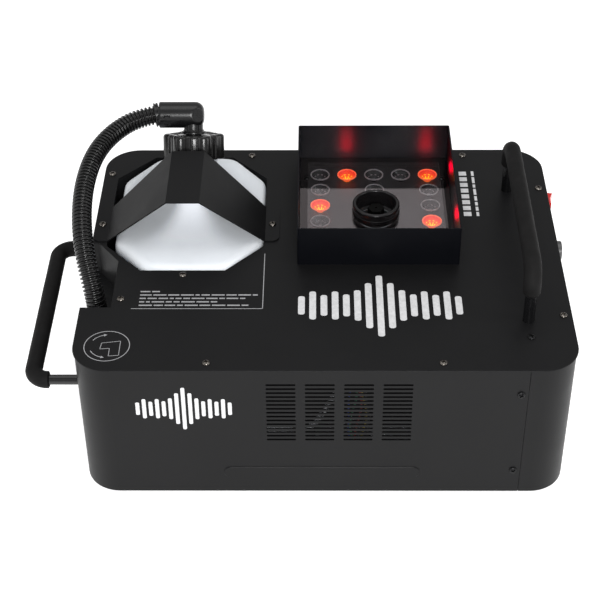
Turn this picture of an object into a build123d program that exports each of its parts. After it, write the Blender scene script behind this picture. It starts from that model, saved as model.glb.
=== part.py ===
from build123d import *
import os
from math import cos, hypot, radians, sin, tan

# Vertical fog machine with an LED ring round its nozzle. Millimetres, +Z up.
# The origin lies on the floor, under the middle of the whole machine with its
# side handle and its switches, so the case's own middle is CASE_X to the right.

# ---------------------------------------------------------------- the case
PLATE_W = 500.0             # top plate, left to right
PLATE_D = 388.0             # top plate, front to back
PLATE_R = 38.0              # its corners
SHEET = 1.5                 # steel sheet of the case
THIN = 1.2                  # steel sheet of the trays inside
OVERHANG = 1.4              # how far the plate stands past the walls
FOOT_H = 10.0
FOOT_D = 28.0
CASE_H = 167.0              # pan's underside to the plate's top
FLANGE = 14.0               # inner flange that the plate is screwed to
SEAM_FROM_RIGHT = 50.5      # seam of the right end cover, from the plate's edge
SEAM_GAP = 0.5
TONGUE = 15.0               # the end cover's tongues behind the wrapped panel
FIT = 0.3                   # clearance round what stands in a cut-out
BOLT_D = 4.0
BOLT_HEAD_D = 8.0
BOLT_HEAD_H = 2.2

# ---------------------------------------------------------------- openings
VENT_COLUMNS = 4
VENT_ROWS = 15
VENT_L = 29.6
VENT_H = 2.4
VENT_PITCH_X = 38.5
VENT_PITCH_Z = 5.26
VENT_X = 14.0               # middle of the vents, from the case's middle
VENT_TOP = 19.6             # uppermost row, below the plate's top
PILL_L = 201.0              # pressed bead across the front
PILL_H = 14.6
PILL_X = -3.0
PILL_DROP = 139.4
PILL_PROUD = 0.8
FAN_SIZE = 80.0
FAN_DEPTH = 25.0
FAN_BORE = 76.0
FAN_X = 140.0
FAN_Z = 92.0
FAN_SHAFT_D = 5.0

# ---------------------------------------------------------------- hose recess
RECESS_W = 32.0             # from the plate's left edge
RECESS_FRONT = 97.6         # from the plate's front edge
RECESS_L = 109.6
RECESS_CHAMFER_X = 24.0
RECESS_CHAMFER_Y = 32.0
RECESS_DEPTH = 42.0

# ---------------------------------------------------------------- tank
TANK_FROM_LEFT = 104.5      # tank's middle, from the plate's left edge
TANK_FROM_FRONT = 265.5
TANK_W = 161.0
TANK_L = 212.0
TANK_CUT_X = 37.0           # corner cuts of the tank's eight sides
TANK_CUT_Y = 48.0
TANK_WALL = 2.5
TANK_DEPTH = 92.0           # plate's top to the tank's floor
TANK_GAP = 4.0              # between the tank and the edge of its opening
OPENING_SHIFT = -3.5        # the opening's middle, from the tank's
BAY_GAP = 6.0               # tank to the bay's side walls
BAY_END_GAP = 2.0           # tank to the bay's end walls
NECK_TILT = 27.0            # the neck leans to the back
NECK_R = 26.0
NECK_BORE_R = 21.0
NECK_ACROSS = 62.0
CAP_BACK = 64.5             # cap's middle, behind the tank's middle
CAP_RISE = 43.5             # cap's middle, above the plate's top
CAP_H = 27.5
CAP_R = 29.5                # cap between its lobes
CAP_LOBES = 6
CAP_LOBE_R = 8.5
CAP_REACH = 34.0            # cap's radius over its lobes
CAP_ROOF = 3.5
SEAL_T = 2.0
THREAD_GAP = 0.8

# ---------------------------------------------------------------- elbow, hose
HOSE_D = 21.2
ELBOW_LEG_D = 21.2
ELBOW_BARREL_D = 29.0
ELBOW_BARREL_L = 47.5
ELBOW_AXIS_RISE = 21.0      # cap's top to the barrel's axis
ELBOW_FLANGE_D = 28.5
ELBOW_FLANGE_H = 4.0
ELBOW_SHANK_D = 16.0
SUCTION_D = 8.0
SUCTION_BORE = 5.0
COLLAR_L = 5.0
COLLAR_D = 26.5
GLAND_D = 24.6
GLAND_H = 6.0
GLAND_NUT_D = 18.0

HOSE_START = (-183.0, 152.0, 252.0)
HOSE_END = (-237.5, -63.0, 137.0)
HOSE_ROUTE = [
    HOSE_START, (-206.0, 147.0, 251.0), (-232.0, 125.5, 246.0), (-249.5, 93.0, 240.0),
    (-257.0, 51.0, 231.0), (-257.0, 9.0, 218.0), (-252.0, -26.0, 200.0),
    (-244.5, -49.0, 179.0), (-239.0, -60.5, 157.0), HOSE_END,
]
GLAND_SHANK_D = 14.0
LATCH_W = 6.0
SUCTION_REACH = 153.0

# Tank guard: a bent sheet that bridges the tank
GUARD_FROM_LEFT = 101.3     # its middle, from the plate's left edge
GUARD_SPAN = 170.0          # between its folds on the plate
GUARD_TOP_W = 35.5
GUARD_H = 60.0
GUARD_FLANGE = 15.0
GUARD_FOOT_FRONT = 209.0    # its feet, from the plate's front edge
GUARD_FOOT_BACK = 271.0
GUARD_TOP_FRONT = 197.0
GUARD_TOP_BACK = 295.0
GUARD_CORNER_R = 8.0

# ---------------------------------------------------------------- LED head
HEAD_X = 56.8               # head's middle, from the case's middle
HEAD_FRONT = 169.0          # its front wall, from the plate's front edge
HEAD_W = 171.0
HEAD_L = 198.5
HEAD_H = 46.4
HEAD_LIP = 9.0
WINDOW_T = 2.0
LED_PITCH_X = 30.5
LED_PITCH_Y = 29.8
LED_FRONT_ROW = 18.5        # front row of LEDs, behind the head's front wall
LED_D = 21.0
LED_H = 8.6
LED_COLUMNS = 5
LED_ROWS = 6
BOARD_T = 1.6
BOARD_DROP = 9.0            # LED board's top, below the plate's top
NOZZLE_BEHIND = 90.5        # nozzle's axis, behind the head's front wall
NOZZLE_D = 52.0
NOZZLE_STEP = 1.6
NOZZLE_BORE = 43.0
NOZZLE_H = 12.5
NOZZLE_GROOVE = 1.2
PIPE_D = 12.0
PIPE_BORE = 5.0
TIP_D = 18.0
TIP_H = 9.0
TIP_BORE = 2.5
SHIELD_D = 40.0

# ---------------------------------------------------------------- handles
SIDE_BAR_REACH = 52.0       # side handle's bar, from the wall
SIDE_BAR_DROP = 64.0
SIDE_LEG_FRONT = 59.0       # its legs, from the plate's front edge
SIDE_LEG_BACK = 282.0
SIDE_ROD_D = 10.6
SIDE_BEND_R = 16.0
SIDE_GRIP_END = 18.4        # grip's end on the legs, from the bar's axis
TOP_BAR_FROM_RIGHT = 45.0
TOP_BAR_H = 63.5
TOP_LEG_FRONT = 78.0
TOP_LEG_BACK = 307.0
TOP_ROD_D = 12.0
TOP_BEND_R = 22.0
TOP_GRIP_END = 31.0         # grip's end on the legs, below the bar's axis
GRIP_D = 18.0
HANDLE_NUT_D = 19.0
HANDLE_NUT_H = 8.0

# ---------------------------------------------------------------- control side
SWITCH_PROUD = 13.0
SWITCH_Y = 325.0            # from the plate's front edge
SWITCH_DROP = 32.0
SWITCH_L = 27.0
SWITCH_W = 21.0
ROCKER_TILT = 9.0
REMOTE_Y = 235.0
REMOTE_D = 22.0
REMOTE_PROUD = 11.5
INLET_Y = 325.0
INLET_W = 48.0
INLET_H = 22.5
FUSE_Y = 272.0
FUSE_D = 12.0
FUSE_CAP_D = 15.0
SOCKET_IN_Y = 232.0
SOCKET_OUT_Y = 196.0
SOCKET_D = 24.0
SOCKET_PLATE_W = 26.0
SOCKET_PLATE_H = 31.0
LOWER_ROW_DROP = 92.0
DISPLAY_Y = 112.0
DISPLAY_DROP = 42.0
DISPLAY_W = 66.0
DISPLAY_H = 24.0
BUTTON_D = 9.0
BUTTON_PROUD = 2.5
BUTTON_PITCH = 20.0
BUTTON_DROP = 72.0
BUTTON_COUNT = 4

# ---------------------------------------------------------------- insides
HEATER_W = 116.0
HEATER_L = 92.0
HEATER_H = 54.0
HEATER_DROP = 60.0          # heater's top, below the plate's top
JACKET_T = 10.0
ELEMENT_D = 10.0
PUMP_X = -165.0
PUMP_Y = -140.0
PUMP_AXIS_Z = 48.0
PUMP_COIL_D = 44.0
PUMP_COIL_L = 46.0
PUMP_TUBE_D = 16.0
PLUNGER_D = 11.0
LINE_D = 6.0
WIRE_D = 2.2

# ---------------------------------------------------------------- worked out
CASE_W = PLATE_W - 2 * OVERHANG
CASE_D = PLATE_D - 2 * OVERHANG
SIDE_BAR_X = -CASE_W / 2 - SIDE_BAR_REACH
LEFT_REACH = -SIDE_BAR_X + GRIP_D / 2
RIGHT_REACH = CASE_W / 2 + SWITCH_PROUD
CASE_X = (LEFT_REACH - RIGHT_REACH) / 2
TOP = FOOT_H + CASE_H
DECK = TOP - SHEET
FRONT = -PLATE_D / 2
BACK = PLATE_D / 2
LEFT = -PLATE_W / 2
RIGHT = PLATE_W / 2
SEAM_X = RIGHT - SEAM_FROM_RIGHT
WALL_X = CASE_W / 2
INSIDE_X = WALL_X - SHEET
PAN_TOP = FOOT_H + SHEET
TANK_X = LEFT + TANK_FROM_LEFT
TANK_Y = FRONT + TANK_FROM_FRONT
TANK_FLOOR = TOP - TANK_DEPTH
OPENING_X = TANK_X + OPENING_SHIFT
GUARD_X = LEFT + GUARD_FROM_LEFT
HEAD_Y = FRONT + HEAD_FRONT + HEAD_L / 2
NOZZLE_Y = FRONT + HEAD_FRONT + NOZZLE_BEHIND
WINDOW_Z = TOP + SHEET
BOARD_Z = TOP - BOARD_DROP
HEATER_TOP = TOP - HEATER_DROP
UPPER_ROW_Z = TOP - SWITCH_DROP
LOWER_ROW_Z = TOP - LOWER_ROW_DROP
TOP_BAR_X = RIGHT - TOP_BAR_FROM_RIGHT


# ---------------------------------------------------------------- planes
def level(z, x=0.0, y=0.0):
    """A level plane, its origin beside the case's middle."""
    return Plane((CASE_X + x, y, z))


def facing_front(y, x=0.0, z=0.0):
    """An upright plane that faces the front: across is +X and up is +Z."""
    return Plane((CASE_X + x, y, z), x_dir=(1, 0, 0), z_dir=(0, -1, 0))


def facing_right(x, y=0.0, z=0.0):
    """An upright plane that faces right: across is +Y and up is +Z."""
    return Plane((CASE_X + x, y, z), x_dir=(0, 1, 0), z_dir=(1, 0, 0))


def facing_back(y, x=0.0, z=0.0):
    """An upright plane that faces the back: across is -X and up is +Z."""
    return Plane((CASE_X + x, y, z), x_dir=(-1, 0, 0), z_dir=(0, 1, 0))


LEAN = (0, sin(radians(NECK_TILT)), cos(radians(NECK_TILT)))
CAP_AT = (CASE_X + TANK_X, TANK_Y + CAP_BACK, TOP + CAP_RISE)


def on_neck(along):
    """A plane across the neck's axis, so far above the cap's middle."""
    origin = tuple(c + along * d for c, d in zip(CAP_AT, LEAN))
    return Plane(origin, x_dir=(1, 0, 0), z_dir=LEAN)


# ---------------------------------------------------------------- shapes
def case_outline(inset, mode=Mode.ADD):
    """The plate's rounded outline, drawn in by an inset."""
    RectangleRounded(PLATE_W - 2 * inset, PLATE_D - 2 * inset, PLATE_R - inset, mode=mode)


def eight_sides(width, length, cut_x, cut_y):
    """A rectangle's corners cut off, about the sketch's origin."""
    x = width / 2
    y = length / 2
    return [
        (x, y - cut_y), (x - cut_x, y), (cut_x - x, y), (-x, y - cut_y),
        (-x, cut_y - y), (cut_x - x, -y), (x - cut_x, -y), (x, cut_y - y),
    ]


def sheet_section(points, thickness):
    """The closed outline of a bent sheet whose outer face runs through the points."""
    inner = []
    for i, point in enumerate(points):
        normals = []
        for a, b in ((i - 1, i), (i, i + 1)):
            if a >= 0 and b < len(points):
                dx = points[b][0] - points[a][0]
                dz = points[b][1] - points[a][1]
                run = hypot(dx, dz)
                normals.append((dz / run, -dx / run))
        nx = sum(n[0] for n in normals)
        nz = sum(n[1] for n in normals)
        scale = thickness if len(normals) == 1 else 2 * thickness / (nx * nx + nz * nz)
        inner.append((point[0] + nx * scale, point[1] + nz * scale))
    return points + inner[::-1]


def tube(points, radii, outer, inner=0.0):
    """A round bar or tube along straight runs joined by tangent arcs."""
    with BuildPart(mode=Mode.PRIVATE) as made:
        with BuildLine() as route:
            if len(points) > 2:
                FilletPolyline(*points, radius=radii)
            else:
                Line(*points)
        start = Vector(*points[1]) - Vector(*points[0])
        with BuildSketch(Plane(points[0], z_dir=start)):
            Circle(outer / 2)
            if inner:
                Circle(inner / 2, mode=Mode.SUBTRACT)
        sweep(path=route.wires()[0])
    return made.part


def run_radii(points):
    """For each corner of a route, the largest arc that its two runs allow."""
    radii = []
    for before, corner, after in zip(points, points[1:], points[2:]):
        run_in = Vector(*corner) - Vector(*before)
        run_out = Vector(*after) - Vector(*corner)
        half_turn = radians(run_in.get_angle(run_out)) / 2
        radii.append(0.45 * min(run_in.length, run_out.length) / tan(half_turn))
    return radii


def at_case(points):
    """Points given from the case's middle, moved to the origin's frame."""
    return [(CASE_X + x, y, z) for x, y, z in points]


def bolt(plane, length, head_d=BOLT_HEAD_D, shank_d=BOLT_D):
    """A pan-head screw that goes in at a plane, its head standing on it."""
    with BuildPart(mode=Mode.PRIVATE) as made:
        with BuildSketch(plane):
            Circle(head_d / 2)
        extrude(amount=BOLT_HEAD_H)
        chamfer(made.edges().filter_by(GeomType.CIRCLE), BOLT_HEAD_H / 5)
        with BuildSketch(plane):
            Circle(shank_d / 2)
        extrude(amount=-length)
    return made.part


def save(part, name):
    """Labels a finished piece and writes it."""
    part.label = name
    export_step(part, f"parts/{name}.step")


os.makedirs("parts", exist_ok=True)

# ---------------------------------------------------------------- screw places
DECK_SCREWS = [
    (-240.9, 144.4), (-82.9, 181.6), (160.5, 181.6), (241.0, 114.9), (241.0, -109.3),
    (115.3, -182.2), (-116.1, -182.2), (-209.3, -82.6), (-148.2, -42.6),
]
GUARD_SCREW_Y = FRONT + 239.0
GUARD_SCREWS = [
    (GUARD_X + side * (GUARD_SPAN + GUARD_FLANGE) / 2, GUARD_SCREW_Y) for side in (-1, 1)
]
HANDLE_SCREWS = [(TOP_BAR_X, -143.4), (TOP_BAR_X, 127.4)]
SEAM_SCREW_X = SEAM_X - TONGUE / 2 + 0.5
SEAM_SCREW_Z = [TOP - 32.2, TOP - 136.2]
WINDOW_SCREWS = [
    (HEAD_X - HEAD_W / 2 + 9.5, HEAD_Y + 55.0), (HEAD_X + HEAD_W / 2 - 9.5, HEAD_Y + 55.0),
    (HEAD_X - HEAD_W / 2 + 9.5, HEAD_Y - 70.0), (HEAD_X + HEAD_W / 2 - 9.5, HEAD_Y - 70.0),
]
FOOT_PLACES = [(x, y) for x in (-200.0, 200.0) for y in (-150.0, 150.0)]
BOLT_HOLE_R = BOLT_D / 2 + FIT / 2
BAY_W = TANK_W + 2 * (BAY_GAP + THIN)
BAY_L = TANK_L + 2 * (BAY_END_GAP + THIN)
BAY_X = OPENING_X
RECESS_OUTLINE = [
    (LEFT - 5, FRONT + RECESS_FRONT),
    (LEFT + RECESS_W, FRONT + RECESS_FRONT),
    (LEFT + RECESS_W, FRONT + RECESS_FRONT + RECESS_L - RECESS_CHAMFER_Y),
    (LEFT + RECESS_W - RECESS_CHAMFER_X, FRONT + RECESS_FRONT + RECESS_L),
    (LEFT - 5, FRONT + RECESS_FRONT + RECESS_L),
]
RECESS_FLOOR = TOP - RECESS_DEPTH
RECESS_TRAY = sheet_section(RECESS_OUTLINE, THIN)[len(RECESS_OUTLINE):]

# ---------------------------------------------------------------- bottom pan
with BuildPart() as bottom_pan:
    with BuildSketch(level(FOOT_H)):
        case_outline(OVERHANG + SHEET)
    extrude(amount=SHEET + 12.0)
    with BuildSketch(level(PAN_TOP)):
        case_outline(OVERHANG + 2 * SHEET)
    extrude(amount=20.0, mode=Mode.SUBTRACT)
    with BuildSketch(level(FOOT_H, HEAD_X, NOZZLE_Y)):
        with GridLocations(20.0, 14.0, 6, 5):
            SlotOverall(14.0, 4.0)
    extrude(amount=SHEET, mode=Mode.SUBTRACT)
    with BuildSketch(level(FOOT_H)):
        with Locations(*FOOT_PLACES):
            Circle(BOLT_HOLE_R)
    extrude(amount=SHEET, mode=Mode.SUBTRACT)
save(bottom_pan.part, "bottom_pan")

# ---------------------------------------------------------------- wrapped panel
with BuildPart() as body_wrap:
    with BuildSketch(level(FOOT_H)):
        case_outline(OVERHANG)
        case_outline(OVERHANG + SHEET, mode=Mode.SUBTRACT)
    extrude(amount=CASE_H - SHEET)
    with BuildSketch(level(DECK - SHEET)):
        case_outline(OVERHANG + SHEET / 2)
        case_outline(OVERHANG + SHEET + FLANGE, mode=Mode.SUBTRACT)
    extrude(amount=SHEET)
    with BuildSketch(level(DECK - SHEET, BAY_X, TANK_Y)):
        Polygon(*eight_sides(BAY_W + FIT, BAY_L + FIT, TANK_CUT_X, TANK_CUT_Y))
    extrude(amount=SHEET, mode=Mode.SUBTRACT)
    with BuildSketch(level(FOOT_H)):
        with Locations((SEAM_X + PLATE_W / 2, 0)):
            Rectangle(PLATE_W, PLATE_D)
    extrude(amount=CASE_H, mode=Mode.SUBTRACT)
    with BuildSketch(level(RECESS_FLOOR - THIN)):
        Polygon(*RECESS_TRAY, align=None)
    extrude(amount=CASE_H, mode=Mode.SUBTRACT)
    with BuildSketch(facing_front(FRONT, VENT_X, TOP - VENT_TOP - 7 * VENT_PITCH_Z)):
        with GridLocations(VENT_PITCH_X, VENT_PITCH_Z, VENT_COLUMNS, VENT_ROWS):
            SlotOverall(VENT_L, VENT_H)
    extrude(amount=-OVERHANG - 2 * SHEET, mode=Mode.SUBTRACT)
    with BuildSketch(facing_front(FRONT + OVERHANG, PILL_X, TOP - PILL_DROP)):
        SlotOverall(PILL_L, PILL_H)
    extrude(amount=PILL_PROUD)
    chamfer(body_wrap.edges().group_by(Axis.Y)[0], PILL_PROUD * 0.7)
    with BuildSketch(facing_front(FRONT + OVERHANG + SHEET, PILL_X, TOP - PILL_DROP)):
        SlotOverall(PILL_L - 2 * SHEET, PILL_H - 2 * SHEET)
    extrude(amount=PILL_PROUD, mode=Mode.SUBTRACT)
    with BuildSketch(facing_front(FRONT)):
        with Locations(*[(SEAM_SCREW_X, z) for z in SEAM_SCREW_Z]):
            Circle(BOLT_HOLE_R)
    extrude(amount=-PLATE_D, mode=Mode.SUBTRACT)
    with BuildSketch(level(DECK - SHEET)):
        with Locations(*DECK_SCREWS, *GUARD_SCREWS):
            Circle(BOLT_HOLE_R)
    extrude(amount=SHEET, mode=Mode.SUBTRACT)
    with BuildSketch(facing_right(-WALL_X)):
        for leg in (SIDE_LEG_FRONT, SIDE_LEG_BACK):
            with Locations((FRONT + leg, TOP - SIDE_BAR_DROP)):
                Circle(SIDE_ROD_D / 2 + FIT / 2)
    extrude(amount=2 * SHEET, mode=Mode.SUBTRACT)
    with BuildSketch(facing_back(BACK)):
        for row in range(-4, 5):
            chord = 2 * (FAN_BORE**2 / 4 - (row * 7.6) ** 2) ** 0.5
            for side in (-1, 1):
                with Locations((side * (chord / 4 + 1.0) - FAN_X, FAN_Z + row * 7.6)):
                    SlotOverall(chord / 2 - 4.0, 4.0)
        for x in (-1, 1):
            for z in (-1, 1):
                with Locations((x * FAN_SIZE * 0.4475 - FAN_X, FAN_Z + z * FAN_SIZE * 0.4475)):
                    Circle(BOLT_HOLE_R)
    extrude(amount=-OVERHANG - 2 * SHEET, mode=Mode.SUBTRACT)
save(body_wrap.part, "body_wrap")

# ---------------------------------------------------------------- right end cover
with BuildPart() as end_cover:
    with BuildSketch(level(FOOT_H)):
        case_outline(OVERHANG)
        case_outline(OVERHANG + SHEET, mode=Mode.SUBTRACT)
    extrude(amount=CASE_H - SHEET)
    with BuildSketch(level(DECK - SHEET)):
        case_outline(OVERHANG + SHEET / 2)
        case_outline(OVERHANG + SHEET + FLANGE, mode=Mode.SUBTRACT)
    extrude(amount=SHEET)
    with BuildSketch(level(FOOT_H)):
        with Locations((SEAM_X + SEAM_GAP - PLATE_W / 2, 0)):
            Rectangle(PLATE_W, PLATE_D)
    extrude(amount=CASE_H, mode=Mode.SUBTRACT)
    for side in (-1, 1):
        inner_y = side * (CASE_D / 2 - SHEET - SHEET / 2)
        with BuildSketch(level(PAN_TOP + 16.0, SEAM_X + SEAM_GAP - TONGUE, inner_y)):
            Rectangle(TONGUE + 4.0, SHEET, align=(Align.MIN, Align.CENTER))
        extrude(amount=CASE_H - 40.0)
    with BuildSketch(facing_front(FRONT)):
        with Locations(*[(SEAM_SCREW_X, z) for z in SEAM_SCREW_Z]):
            Circle(BOLT_HOLE_R)
    extrude(amount=-PLATE_D, mode=Mode.SUBTRACT)
    with BuildSketch(level(DECK - SHEET)):
        with Locations(*DECK_SCREWS):
            Circle(BOLT_HOLE_R)
    extrude(amount=SHEET, mode=Mode.SUBTRACT)
    with BuildSketch(facing_right(INSIDE_X)):
        with Locations((FRONT + SWITCH_Y, UPPER_ROW_Z)):
            Rectangle(SWITCH_L + 2 * FIT, SWITCH_W + 2 * FIT)
        with Locations((FRONT + REMOTE_Y, UPPER_ROW_Z)):
            Circle(REMOTE_D / 2 + FIT - 2.0)
        with Locations((FRONT + INLET_Y, LOWER_ROW_Z)):
            Rectangle(28.0 + 2 * FIT, INLET_H - 2.0 + 2 * FIT)
        with Locations((FRONT + FUSE_Y, LOWER_ROW_Z)):
            Circle(FUSE_D / 2 + FIT)
        with Locations((FRONT + SOCKET_IN_Y, LOWER_ROW_Z), (FRONT + SOCKET_OUT_Y, LOWER_ROW_Z)):
            Circle(SOCKET_D / 2 - 1.0 + FIT)
        with Locations((FRONT + DISPLAY_Y, TOP - DISPLAY_DROP)):
            Rectangle(DISPLAY_W + 2 * FIT, DISPLAY_H + 2 * FIT)
        with Locations((FRONT + DISPLAY_Y, TOP - BUTTON_DROP)):
            with GridLocations(BUTTON_PITCH, 1.0, BUTTON_COUNT, 1):
                Circle(BUTTON_D / 2 + FIT)
    extrude(amount=2 * SHEET, mode=Mode.SUBTRACT)
save(end_cover.part, "end_cover")

# ---------------------------------------------------------------- top plate
HEAD_OPEN_W = HEAD_W - 2 * SHEET - 3.0
HEAD_OPEN_L = HEAD_L - 2 * SHEET - 3.0
with BuildPart() as top_cover:
    with BuildSketch(level(DECK)):
        case_outline(0)
    extrude(amount=SHEET)
    chamfer(top_cover.faces().sort_by(Axis.Z)[-1].edges(), SHEET / 4)
    with BuildSketch(level(DECK, OPENING_X, TANK_Y)):
        Polygon(*eight_sides(TANK_W + 2 * TANK_GAP, TANK_L + 1.0, TANK_CUT_X + 3.0, TANK_CUT_Y - 5.0))
    extrude(amount=SHEET, mode=Mode.SUBTRACT)
    with BuildSketch(level(DECK)):
        Polygon(*RECESS_OUTLINE, align=None)
        with Locations((HEAD_X, HEAD_Y)):
            Rectangle(HEAD_OPEN_W, HEAD_OPEN_L)
        with Locations(*DECK_SCREWS, *HANDLE_SCREWS, *GUARD_SCREWS):
            Circle(BOLT_HOLE_R)
        for leg in (TOP_LEG_FRONT, TOP_LEG_BACK):
            with Locations((TOP_BAR_X, FRONT + leg)):
                Circle(TOP_ROD_D / 2 + FIT / 2)
    extrude(amount=SHEET, mode=Mode.SUBTRACT)
save(top_cover.part, "top_cover")

# ---------------------------------------------------------------- hose recess
with BuildPart() as hose_recess:
    with BuildSketch(level(RECESS_FLOOR - THIN)):
        Polygon(*RECESS_TRAY, align=None)
    extrude(amount=DECK - RECESS_FLOOR + THIN)
    with BuildSketch(level(RECESS_FLOOR)):
        Polygon(*RECESS_OUTLINE, align=None)
    extrude(amount=CASE_H, mode=Mode.SUBTRACT)
    with BuildSketch(level(DECK - THIN, LEFT + RECESS_W + THIN / 2, FRONT + RECESS_FRONT + 20.0)):
        Rectangle(12.0, 50.0, align=(Align.MIN, Align.CENTER))
    extrude(amount=THIN)
    with BuildSketch(level(0)):
        with Locations((-WALL_X - 10.0, 0)):
            Rectangle(20.0, PLATE_D)
    extrude(amount=TOP, mode=Mode.SUBTRACT)
    with BuildSketch(level(DECK - THIN)):
        with Locations(DECK_SCREWS[7]):
            Circle(BOLT_HOLE_R)
    extrude(amount=THIN, mode=Mode.SUBTRACT)
    with BuildSketch(level(0)):
        with Locations((HOSE_END[0], HOSE_END[1])):
            Circle(GLAND_SHANK_D / 2 + FIT / 2)
    extrude(amount=RECESS_FLOOR, mode=Mode.SUBTRACT)
save(hose_recess.part, "hose_recess")

# ---------------------------------------------------------------- tank bay
with BuildPart() as tank_bay:
    with BuildSketch(level(TANK_FLOOR - THIN, BAY_X, TANK_Y)):
        Polygon(*eight_sides(BAY_W, BAY_L, TANK_CUT_X, TANK_CUT_Y))
    extrude(amount=DECK - TANK_FLOOR + THIN)
    with BuildSketch(level(TANK_FLOOR, BAY_X, TANK_Y)):
        Polygon(*eight_sides(BAY_W - 2 * THIN, BAY_L - 2 * THIN, TANK_CUT_X, TANK_CUT_Y))
    extrude(amount=CASE_H, mode=Mode.SUBTRACT)
save(tank_bay.part, "tank_bay")

# ---------------------------------------------------------------- tank
TANK_SHOULDER = TOP - 4.0
TRUMPET_Z = TOP + 11.0
NECK_FOOT = -CAP_H / 2 - 3.0
NECK_TOP = CAP_H / 2 - CAP_ROOF - SEAL_T - FIT
with BuildPart() as tank:
    with BuildSketch(level(TANK_FLOOR, TANK_X, TANK_Y)):
        Polygon(*eight_sides(TANK_W, TANK_L, TANK_CUT_X, TANK_CUT_Y))
    extrude(amount=TANK_SHOULDER - TANK_FLOOR)
    fillet(tank.edges().group_by(Axis.Z)[0], 4.0)
    with BuildSketch(level(TANK_SHOULDER, TANK_X, TANK_Y)):
        Polygon(*eight_sides(TANK_W, TANK_L, TANK_CUT_X, TANK_CUT_Y))
    with BuildSketch(level(TRUMPET_Z, TANK_X, TANK_Y + 25.0)):
        Polygon(*eight_sides(TANK_W - 60.0, TANK_L - 84.0, TANK_CUT_X - 9.0, TANK_CUT_Y - 12.0))
    loft(ruled=True)
    with BuildSketch(level(TRUMPET_Z, TANK_X, TANK_Y + 25.0)):
        Polygon(*eight_sides(TANK_W - 60.0, TANK_L - 84.0, TANK_CUT_X - 9.0, TANK_CUT_Y - 12.0))
    with BuildSketch(on_neck(NECK_FOOT)):
        Polygon(*eight_sides(NECK_ACROSS, NECK_ACROSS, NECK_ACROSS * 0.293, NECK_ACROSS * 0.293))
    loft(ruled=True)
    with BuildSketch(on_neck(NECK_FOOT)):
        Circle(NECK_R)
    extrude(amount=NECK_TOP - NECK_FOOT)
    with BuildSketch(level(TANK_FLOOR + TANK_WALL, TANK_X, TANK_Y)):
        Polygon(*eight_sides(TANK_W - 5.0, TANK_L - 5.0, TANK_CUT_X - 1.0, TANK_CUT_Y - 1.4))
    extrude(amount=TANK_SHOULDER - TANK_FLOOR - TANK_WALL, mode=Mode.SUBTRACT)
    with BuildSketch(level(TANK_SHOULDER, TANK_X, TANK_Y)):
        Polygon(*eight_sides(TANK_W - 5.0, TANK_L - 5.0, TANK_CUT_X - 1.0, TANK_CUT_Y - 1.4))
    with BuildSketch(level(TRUMPET_Z, TANK_X, TANK_Y + 25.0)):
        Polygon(*eight_sides(TANK_W - 70.0, TANK_L - 94.0, TANK_CUT_X - 10.5, TANK_CUT_Y - 13.5))
    loft(ruled=True, mode=Mode.SUBTRACT)
    with BuildSketch(level(TRUMPET_Z, TANK_X, TANK_Y + 25.0)):
        Polygon(*eight_sides(TANK_W - 70.0, TANK_L - 94.0, TANK_CUT_X - 10.5, TANK_CUT_Y - 13.5))
    with BuildSketch(on_neck(NECK_FOOT)):
        Polygon(*eight_sides(2 * NECK_BORE_R, 2 * NECK_BORE_R, NECK_BORE_R * 0.586, NECK_BORE_R * 0.586))
    loft(ruled=True, mode=Mode.SUBTRACT)
    with BuildSketch(on_neck(NECK_FOOT)):
        Circle(NECK_BORE_R)
    extrude(amount=CAP_H, mode=Mode.SUBTRACT)
save(tank.part, "tank")

# ---------------------------------------------------------------- cap and seal
with BuildPart() as tank_cap:
    with BuildSketch(on_neck(-CAP_H / 2)):
        Circle(CAP_R)
        with PolarLocations(CAP_REACH - CAP_LOBE_R, CAP_LOBES, start_angle=0):
            Circle(CAP_LOBE_R)
        with PolarLocations(CAP_R, CAP_LOBES, start_angle=30):
            Circle(1.6)
    extrude(amount=CAP_H)
    fillet(tank_cap.faces().sort_by(Axis(CAP_AT, LEAN))[-1].edges(), 1.2)
    with BuildSketch(on_neck(-CAP_H / 2)):
        Circle(NECK_R + THREAD_GAP)
    extrude(amount=CAP_H - CAP_ROOF, mode=Mode.SUBTRACT)
    with BuildSketch(on_neck(-CAP_H / 2)):
        Circle(ELBOW_SHANK_D / 2 + FIT)
    extrude(amount=CAP_H, mode=Mode.SUBTRACT)
save(tank_cap.part, "tank_cap")

with BuildPart() as cap_seal:
    with BuildSketch(on_neck(CAP_H / 2 - CAP_ROOF - SEAL_T)):
        Circle(NECK_R)
        Circle(ELBOW_SHANK_D / 2 + 2.0, mode=Mode.SUBTRACT)
    extrude(amount=SEAL_T)
save(cap_seal.part, "cap_seal")

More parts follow.
